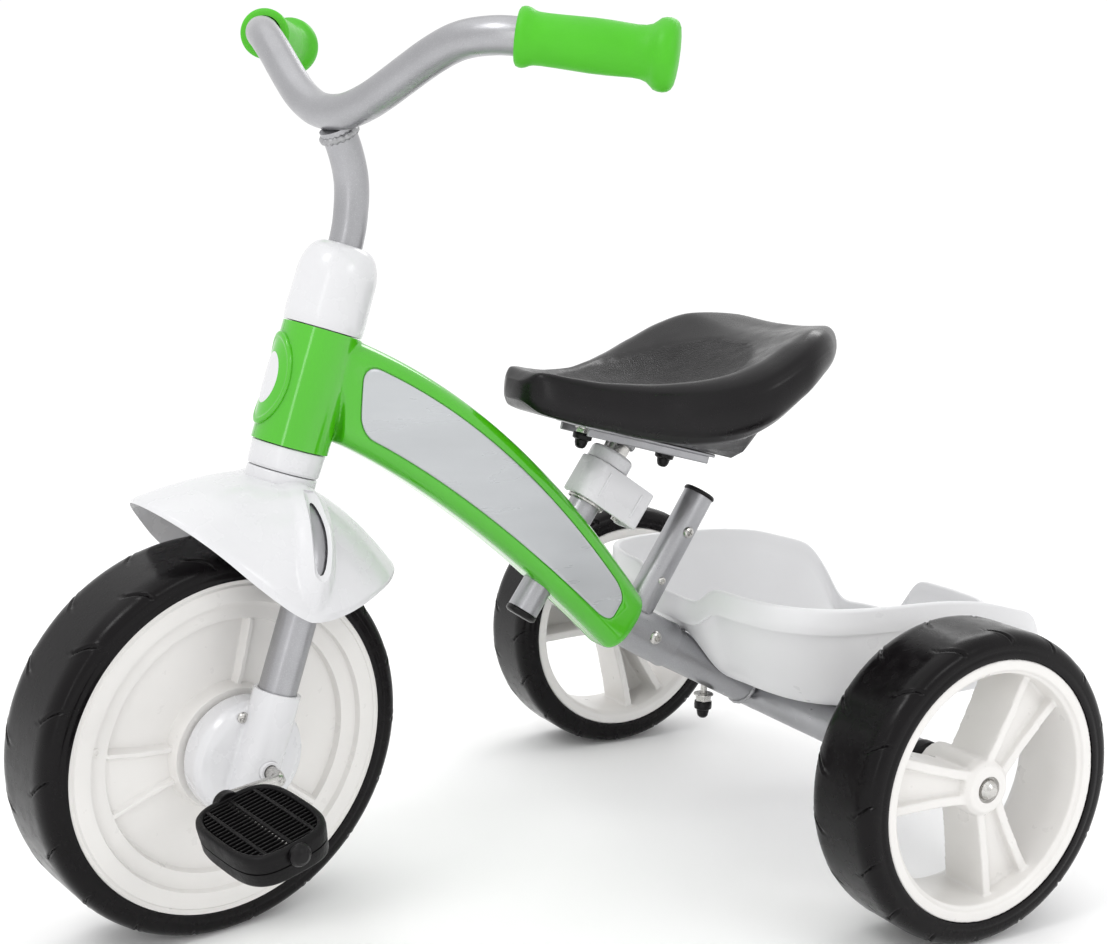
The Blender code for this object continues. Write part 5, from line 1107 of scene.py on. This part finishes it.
cut(cr, ear, "UNION")
v, f = lathe([(0, 0.08), (0.0029, 0.08), (0.0029, 0.12), (0, 0.12)], 32)
cut(cr, tool(v, f, LEVER))
resharp(cr, 35)
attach(cr, "frame")
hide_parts("clamp_ring")
turned("clamp_pin_turned", [(0, 0.0900), (0.0026, 0.0900), (0.0026, 0.1183), (0.0042, 0.1183), (0.0042, 0.1194), (0.0032, 0.1204), (0, 0.1206)], LEVER, STEEL,
       "frame", n=40, rnd=0.0003, replace="clamp_pin", slot="zinc_steel")


def lever_outline(grow):
    x0, x1, y0, y1 = -0.0085, 0.0480, -0.0050, 0.0205
    pts = []
    for px, py, r, a0 in ((x1 - 0.012, y1 - 0.012, 0.012, 0), (x0 + 0.0055, y1 - 0.0055, 0.0055, pi / 2), (x0 + 0.003, y0 + 0.003, 0.003, pi),
                          (x1 - 0.003, y0 + 0.003, 0.003, 3 * pi / 2)):
        for k in range(13):
            a = a0 + pi / 2 * k / 12
            pts.append((px + (r + grow) * cos(a), py + (r + grow) * sin(a)))
    return pts


def prism(outline, zs):
    return rows_mesh([[(x, y, z) for x, y in o] for o, z in zip(outline, zs)], caps=True)


v, f = prism([lever_outline(-0.0012), lever_outline(-0.0004), lever_outline(0), lever_outline(0), lever_outline(-0.0004), lever_outline(-0.0012)],
             [0.0895, 0.0898, 0.0907, 0.1168, 0.1177, 0.1180])
lev = mesh_piece("clamp_lever_moulded", v, f, LEVER, WHITE, None)
v, f = prism([lever_outline(-0.0026), lever_outline(-0.0026)], [0.0800, 0.1152])
cut(lev, tool(v, f, LEVER))
v, f = lathe([(0, 0.07), (0.0142, 0.07), (0.0142, 0.13), (0, 0.13)], 64)
cut(lev, tool(v, f, SEAT))
v, f = box_mesh((-0.0185, -0.04, 0.07), (0.0142, 0.0, 0.13))
cut(lev, tool(v, f, SEAT))
v, f = box_mesh((-0.0335, -0.04, 0.07), (-0.0150, 0.0012, 0.1152))
cut(lev, tool(v, f, SEAT))
v, f = lathe([(0, 0.08), (0.0029, 0.08), (0.0029, 0.13), (0, 0.13)], 40)
cut(lev, tool(v, f, LEVER))
resharp(lev, 35)
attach(lev, "seat_clamp")
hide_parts("clamp_lever")
bar("lever_rib_a", (0.0020, 0.0182, 0.0950), (0.0038, 0.0212, 0.1130), LEVER, WHITE, "seat_clamp", bevel=0.0004, slot="white_plastic")
bar("lever_rib_b", (0.0330, 0.0176, 0.0950), (0.0348, 0.0210, 0.1130), LEVER, WHITE, "seat_clamp", bevel=0.0004, slot="white_plastic")

# ------------------------------------------------------------------ saddle
def saddle_half(t):
    return eased(t, (0, 0.012, 0.04, 0.12, 0.2, 0.3, 0.4, 0.5, 0.6, 0.7, 0.8, 0.9, 0.96, 1.0),
                 (0.010, 0.018, 0.0265, 0.0400, 0.0520, 0.0660, 0.0830, 0.0965, 0.1030, 0.1010, 0.0900, 0.0670, 0.0440, 0.014))


def saddle_rim(t):
    return eased(t, (0, 0.04, 0.12, 0.2, 0.3, 0.4, 0.5, 0.6, 0.7, 0.8, 0.9, 1.0),
                 (0.3440, 0.3475, 0.3445, 0.3420, 0.3415, 0.3440, 0.3495, 0.3590, 0.3710, 0.3795, 0.3818, 0.3755))


def saddle_low(t):
    return eased(t, (0, 0.04, 0.12, 0.2, 0.3, 0.4, 0.5, 0.6, 0.7, 0.8, 0.9, 1.0),
                 (0.3330, 0.3245, 0.3185, 0.3140, 0.3085, 0.3060, 0.3085, 0.3180, 0.3340, 0.3500, 0.3610, 0.3690))


NOSE_X, SADDLE_LEN = 0.2220, 0.2460


def teardrop(x, y):
    """Signed distance-like value of the stippled area: above 0 inside."""
    t = (NOSE_X - x) / SADDLE_LEN
    if t < 0.07 or t > 0.74:
        return -1.0
    u = (t - 0.07) / 0.67
    half = 0.0135 + 0.052 * sin(pi * min(1.0, u * 0.80)) ** 1.25 if u < 0.63 else (0.0135 + 0.052) * sqrt(max(0.0, 1 - ((u - 0.63) / 0.37) ** 2))
    if u < 0.05:
        half *= sqrt(u / 0.05)
    return (half - abs(y)) / 0.01


rows = []
NT = 110
for k in range(NT + 1):
    t = k / NT
    t = t - 0.5 * sin(2 * pi * t) / (2 * pi)
    x = NOSE_X - SADDLE_LEN * t
    b, zr, zl = saddle_half(t), saddle_rim(t), saddle_low(t)
    tail = max(0.0, (t - 0.84) / 0.16)
    dish = (0.005 * min(1, t / 0.2) + 0.011 * sin(pi * min(1, max(0, (t - 0.12) / 0.80))) ** 1.3) * (1 - tail * tail * (3 - 2 * tail))
    zc = zr + eased(t, (0, 0.04, 0.75, 0.92, 1.0), (0.0015, 0.0050, 0.0055, 0.0025, 0.0))
    ze = zr - min(0.0095, 0.40 * (zr - zl))
    h = zr - zl
    zk = 0.3030 + (x - 0.1270) * tan(radians(PLATE_DEG)) + 0.0013 / cos(radians(PLATE_DEG)) + 0.0003
    away = max(0.0, x - 0.186, 0.056 - x)
    zk = zk if away == 0 else min(zl, zk + away * 1.6)
    if t > 0.98:
        zk = zl
    kw = min(0.026, 0.6 * b)
    sec = []
    for q in [i / 19 for i in range(20)]:
        yy = 0.80 * b * q
        z = zc - dish * (1 - q ** 2.3) ** 1.25 - 0.0004 * q ** 6
        td = teardrop(x, yy)
        if td > -1:
            z -= 0.0007 * max(0.0, min(1.0, td * 6 + 0.5))
            z -= 0.0008 * exp(-(td / 0.13) ** 2)
        sec.append((yy, z))
    for a in (15, 30, 45, 58, 70, 80):
        q = radians(a)
        sec.append((0.80 * b + 0.192 * b * sin(q), zc - 0.0004 - (zc - 0.0004 - ze) * (1 - cos(q)) * 0.98))
    hb = ze - zl
    sec += [(0.999 * b, ze + 0.0012), (1.0 * b, ze), (1.004 * b, ze - 0.06 * hb), (1.007 * b, ze - 0.18 * hb), (1.008 * b, ze - 0.32 * hb), (1.004 * b, ze - 0.46 * hb),
            (0.994 * b, ze - 0.60 * hb), (0.978 * b, ze - 0.70 * hb), (0.956 * b, ze - 0.77 * hb), (0.945 * b, ze - 0.79 * hb), (0.915 * b, ze - 0.88 * hb),
            (0.87 * b, ze - 0.96 * hb), (0.80 * b, zl + 0.0004)]
    y0, z0 = sec[-1]
    for q in (0.25, 0.5, 0.75):
        s = q * q * (3 - 2 * q)
        sec.append((y0 + (kw - y0) * q, z0 + (zk - z0) * s))
    sec += [(kw, zk), (kw * 0.5, zk), (0, zk)]
    rows.append([(x, y, z) for y, z in sec] + [(x, -y, z) for y, z in sec[-2:0:-1]])
v, f = rows_mesh(rows, caps=True)
sad = mesh_piece("saddle_moulded", v, f, F, SADDLE, "seat", replace="saddle", slot="black_plastic", sharp=70)
att = sad.data.attributes.new("stipple", "FLOAT", "POINT")
for i, vert in enumerate(sad.data.vertices):
    x, y, z = vert.co.x + ORIGIN_X, vert.co.y, vert.co.z
    t = (NOSE_X - x) / SADDLE_LEN
    on = z > saddle_rim(t) - 0.014 if 0 <= t <= 1 else False
    att.data[i].value = max(0.0, min(1.0, teardrop(x, y) * 3)) if on else 0.0

v, f = box_mesh((-0.062, -0.021, -0.0012), (0.050, 0.021, 0.0013))
pl = mesh_piece("saddle_plate_pressed", v, f, PLATE, SILVER, "seat", replace="saddle_plate", slot="silver_paint")
round_edges(pl, 0.0009, 2)
for sgy in (1, -1):
    bar("plate_flange_" + ("left" if sgy > 0 else "right"), (-0.058, sgy * 0.0186 - 0.0011, -0.0065), (0.046, sgy * 0.0186 + 0.0011, -0.0008), PLATE, SILVER, "seat", bevel=0.0008, slot="silver_paint")
weld("post_weld", SEAT_LOW + SEAT_DIR * 0.1386, SEAT_DIR, 0.0096, 0.0020, F, "seat")
for name, px in (("front", 0.0380), ("rear", -0.0330)):
    M = PLATE @ Matrix.Translation((px, 0, 0))
    prof = [(0, -0.0110), (0.0025, -0.0110), (0.0025, -0.0024), (0.0066, -0.0024), (0.0066, -0.0013), (0.0026, -0.0013), (0.0026, 0.0070), (0, 0.0070)]
    turned("saddle_stud_" + name, prof, M, STEEL, "seat", n=40, rnd=0.0002, replace="saddle_bolt_" + name, slot="zinc_steel")
    v, f = lathe([(0.0026, -0.0066), (0.0060, -0.0066), (0.0060, -0.0025), (0.0026, -0.0025)], 6)
    mesh_piece("saddle_nut_" + name, v, f, M, STEEL, "seat", bevel=0.0004, slot="zinc_steel")
    capo = [(0, -0.0163), (0.0022, -0.0160), (0.0036, -0.0148), (0.0044, -0.0126), (0.0047, -0.0104), (0.0068, -0.0094), (0.0070, -0.0070), (0.0068, -0.0052),
            (0.0048, -0.0052), (0.0044, -0.0068), (0.0030, -0.0090), (0, -0.0114)]
    turned("saddle_cap_moulded_" + name, capo, M, BLACK, "seat", n=48, rnd=0.0003, replace="saddle_bolt_cap_" + name, slot="black_plastic")

# ------------------------------------------------------------------ tray
BXF, BXR, BY, FLOOR_Z, WALL_B = 0.0800, -0.1880, 0.1350, 0.1182, 0.0024


def plan(a, x0, x1, hy, corner):
    cxx, hxx = (x0 + x1) / 2, (x0 - x1) / 2
    p = 2 / corner
    c, s = cos(a), sin(a)
    return (cxx + hxx * abs(c) ** p * (1 if c >= 0 else -1), hy * abs(s) ** p * (1 if s >= 0 else -1))


def basket_rim(x, y):
    side = eased(-x, (-0.085, 0.040, 0.080, 0.120, 0.142, 0.158, 0.172), (0.1990, 0.1980, 0.1950, 0.1860, 0.1790, 0.1580, 0.1300))
    if x < -0.150:
        tab = eased(abs(y), (0.0, 0.034, 0.040, 0.060, 0.066), (0.1640, 0.1630, 0.1600, 0.1330, 0.1300))
        side = max(side, tab) if x < -0.17 else side
    if x > 0.05:
        side = eased(abs(y), (0.0, 0.022, 0.030, 0.045, 0.055), (0.1840, 0.1840, 0.1860, 0.1970, 0.1990))
    return side


NB = 420
def arc_angles():
    """Angles that space the rim's points evenly."""
    fine = [2 * pi * k / 4000 for k in range(4001)]
    pts = [Vector((*plan(a, BXF, BXR, BY, 4.2), 0)) for a in fine]
    L = [0.0]
    for i in range(4000):
        L.append(L[-1] + (pts[i + 1] - pts[i]).length)
    out = []
    for k in range(NB):
        s = L[-1] * k / NB
        i = min(bisect_right(L, s) - 1, 3999)
        out.append(fine[i] + (fine[i + 1] - fine[i]) * (s - L[i]) / max(1e-12, L[i + 1] - L[i]))
    return out


bang = arc_angles()
rimz = []
for a in bang:
    x, y = plan(a, BXF, BXR, BY, 4.2)
    rimz.append(basket_rim(x, y))
for _ in range(6):
    rimz = [(rimz[i - 1] + 2 * rimz[i] + rimz[(i + 1) % NB]) / 4 for i in range(NB)]


def wall_point(i, lv):
    a = bang[i]
    xt, yt = plan(a, BXF, BXR, BY, 4.2)
    xb, yb = plan(a, 0.0300, -0.1650, 0.1080, 3.6)
    top = rimz[i] - 0.018
    g = lv ** 0.62 if lv > 0 else 0.0
    return Vector((xb + (xt - xb) * g * 0.96, yb + (yt - yb) * g * 0.96, FLOOR_Z + (top - FLOOR_Z) * (lv ** 1.25)))


def inward(p, d):
    c = (0.03 - 0.165) / 2
    v = Vector((p.x - c, p.y * 0.9))
    k = (v.length - d) / v.length
    return Vector((c + (p.x - c) * k, p.y * k, p.z))


levels = [0.0, 0.015, 0.04, 0.08, 0.13, 0.19, 0.26, 0.34, 0.43, 0.53, 0.64, 0.76, 0.88, 0.97, 1.0]
rows = [[wall_point(i, lv) for i in range(NB)] for lv in levels]
def lip(off, dz):
    out = []
    for i in range(NB):
        x, y = plan(bang[i], BXF + off, BXR - off, BY + off, 4.2)
        out.append(Vector((x, y, rimz[i] + dz)))
    return out
rows += [lip(-0.0004, -0.0181), lip(0.0018, -0.0181), lip(0.0030, -0.0178), lip(0.0035, -0.0170), lip(0.0034, -0.0100), lip(0.0033, -0.0020), lip(0.0029, -0.0007),
         lip(0.0020, 0.0), lip(0.0002, 0.0), lip(-0.0008, -0.0005), lip(-0.0013, -0.0014), lip(-0.0015, -0.0080)]
for lv in levels[::-1]:
    rows.append([inward(wall_point(i, lv), WALL_B * 1.15) + Vector((0, 0, WALL_B if lv < 0.02 else WALL_B * 0.5)) for i in range(NB)])
v, f = rows_mesh(rows, caps=True)
tray = mesh_piece("tray_moulded", v, f, F, TRAY, None, sharp=40, tri=True)
ctl = smooth_path([(0.120, 0, 0.1640), (0.095, 0, 0.1505), (0.060, 0, 0.1318), (0.0175, 0, 0.1098), (-0.004, 0, 0.0987)], 6)
v, f = tube(ctl, 0.0162, 48)
cut(tray, tool(v, f, F))
v, f = lathe([(0, -0.2), (0.0161, -0.2), (0.0161, 0.2), (0, 0.2)], 48, "Y")
cut(tray, tool(v, f, F @ Matrix.Translation((0, 0, 0.1015))))
resharp(tray, 38)
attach(tray, "frame")
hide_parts("basket")
turned("tray_boss", [(0.0031, 0.1490), (0.0085, 0.1490), (0.0085, 0.1680), (0.0031, 0.1680)], F @ Matrix.Translation((0.0520, 0, 0)), TRAY, "frame", n=48, rnd=0.0006,
       slot="white_plastic")
for y in (-0.066, -0.022, 0.022, 0.066):
    bar("tray_floor_rib_%d" % int(1000 * (y + 0.1)), (-0.140, y - 0.0012, FLOOR_Z + 0.0018), (-0.005, y + 0.0012, FLOOR_Z + 0.0036), F, TRAY, "frame", bevel=0.0005,
        slot="white_plastic")
cross_screw("tray_screw_head", F @ Matrix.Translation((0.0520, 0, 0.1686)), 0.0060, 0.0032, STEEL, "frame")
turned("tray_bolt_shank", [(0, 0.0920), (0.0024, 0.0920), (0.0024, 0.1683), (0, 0.1683)], F @ Matrix.Translation((0.0520, 0, 0)), STEEL, "frame", n=32, rnd=0.0003,
       replace="basket_bolt", slot="zinc_steel")
v, f = lathe([(0.0026, 0.0995), (0.0062, 0.0995), (0.0062, 0.1040), (0.0026, 0.1040)], 6)
mesh_piece("tray_nut_hex", v, f, F @ Matrix.Translation((0.0520, 0, 0)), STEEL, "frame", bevel=0.0004, replace="basket_nut", slot="zinc_steel")
turned("tray_washer", [(0.0026, 0.1040), (0.0074, 0.1040), (0.0074, 0.1051), (0.0026, 0.1051)], F @ Matrix.Translation((0.0520, 0, 0)), STEEL, "frame", n=48, rnd=0.0003,
       slot="zinc_steel")
turned("tray_nut_cap", [(0, 0.0862), (0.0024, 0.0866), (0.0038, 0.0880), (0.0044, 0.0905), (0.0047, 0.0930), (0.0064, 0.0938), (0.0066, 0.0965), (0.0064, 0.0992),
                        (0.0028, 0.0992), (0.0028, 0.0915), (0, 0.0915)], F @ Matrix.Translation((0.0520, 0, 0)), BLACK, "frame", n=48, rnd=0.0003, slot="black_plastic")

# ------------------------------------------------------------------ nodes that keep their CAD shape
KEEP = {"head_tube": SILVER, "head_bush_lower": BLACK, "head_bush_upper": BLACK, "rear_axle_rod": STEEL}
for nname, mat in KEEP.items():
    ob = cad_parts[nname]
    ob.data.materials.clear()
    ob.data.materials.append(mat)

# ------------------------------------------------------------------ floor, light, camera
def floor_material():
    m = bpy.data.materials.new("pale_floor")
    n, l = nodes_of(m)
    b = n["Principled BSDF"]
    b.inputs["Roughness"].default_value = 0.9
    b.inputs["Specular IOR Level"].default_value = 0.1
    a = n.new("ShaderNodeTexNoise")
    a.inputs["Scale"].default_value = 3
    r = n.new("ShaderNodeValToRGB")
    r.color_ramp.elements[0].color = (0.975, 0.975, 0.975, 1)
    r.color_ramp.elements[1].color = (0.985, 0.985, 0.985, 1)
    l.new(a.outputs["Fac"], r.inputs["Fac"])
    l.new(r.outputs["Color"], b.inputs["Base Color"])
    return m


me = bpy.data.meshes.new("floor")
me.from_pydata([(-40, -40, -0.0002), (40, -40, -0.0002), (40, 40, -0.0002), (-40, 40, -0.0002)], [], [(0, 1, 2, 3)])
floor = bpy.data.objects.new("floor", me)
bpy.context.scene.collection.objects.link(floor)
me.materials.append(floor_material())

world = bpy.data.worlds.new("studio")
bpy.context.scene.world = world
world.use_nodes = True
world.node_tree.nodes["Background"].inputs["Color"].default_value = (1.0, 1.0, 1.0, 1)
world.node_tree.nodes["Background"].inputs["Strength"].default_value = 1.03


def area(name, loc, target, size, power, sy=None, colour=(1, 1, 1)):
    li = bpy.data.lights.new(name, "AREA")
    li.energy = power
    li.color = colour
    li.size = size
    if sy:
        li.shape = "RECTANGLE"
        li.size_y = sy
    ob = bpy.data.objects.new(name, li)
    bpy.context.scene.collection.objects.link(ob)
    ob.location = loc
    ob.rotation_euler = (Vector(target) - Vector(loc)).to_track_quat("-Z", "Y").to_euler()
    return ob


sun = bpy.data.lights.new("overhead", "SUN")
sun.energy = 0.35
sun.angle = radians(60)
sun_ob = bpy.data.objects.new("overhead", sun)
bpy.context.scene.collection.objects.link(sun_ob)
sun_ob.rotation_euler = (radians(12), radians(10), 0)
area("key", (1.3, 0.5, 1.9), (0, 0, 0.25), 0.55, 7, 0.55)
area("fill", (-0.6, 1.9, 1.3), (0, 0, 0.2), 0.8, 4, 0.5)
area("rim", (-1.4, -1.1, 1.7), (0, 0, 0.25), 0.8, 6, 0.6)
area("strip", (1.6, 1.5, 0.7), (0.1, 0, 0.25), 0.18, 2.2, 1.3)

yaw, pitch, roll = 1.05046, 0.1653, -0.03387
fwd = Vector((-cos(yaw) * cos(pitch), -sin(yaw) * cos(pitch), -sin(pitch)))
rgt = fwd.cross(Vector((0, 0, 1))).normalized()
dwn = fwd.cross(rgt)
right = cos(roll) * rgt + sin(roll) * dwn
down = -sin(roll) * rgt + cos(roll) * dwn
CM = Matrix((right, -down, -fwd)).transposed().to_4x4()
CM.translation = Vector((0.75038 - ORIGIN_X, 0.98229, 0.46922))
cam = bpy.data.cameras.new("camera")
cam.sensor_width = 36
cam.lens = 1658.74 * 36 / 1108
cam.clip_start = 0.01
camera = bpy.data.objects.new("camera", cam)
camera.matrix_world = CM
bpy.context.scene.collection.objects.link(camera)
bpy.context.scene.camera = camera
bpy.context.scene.view_settings.view_transform = "Standard"

bpy.context.view_layer.update()
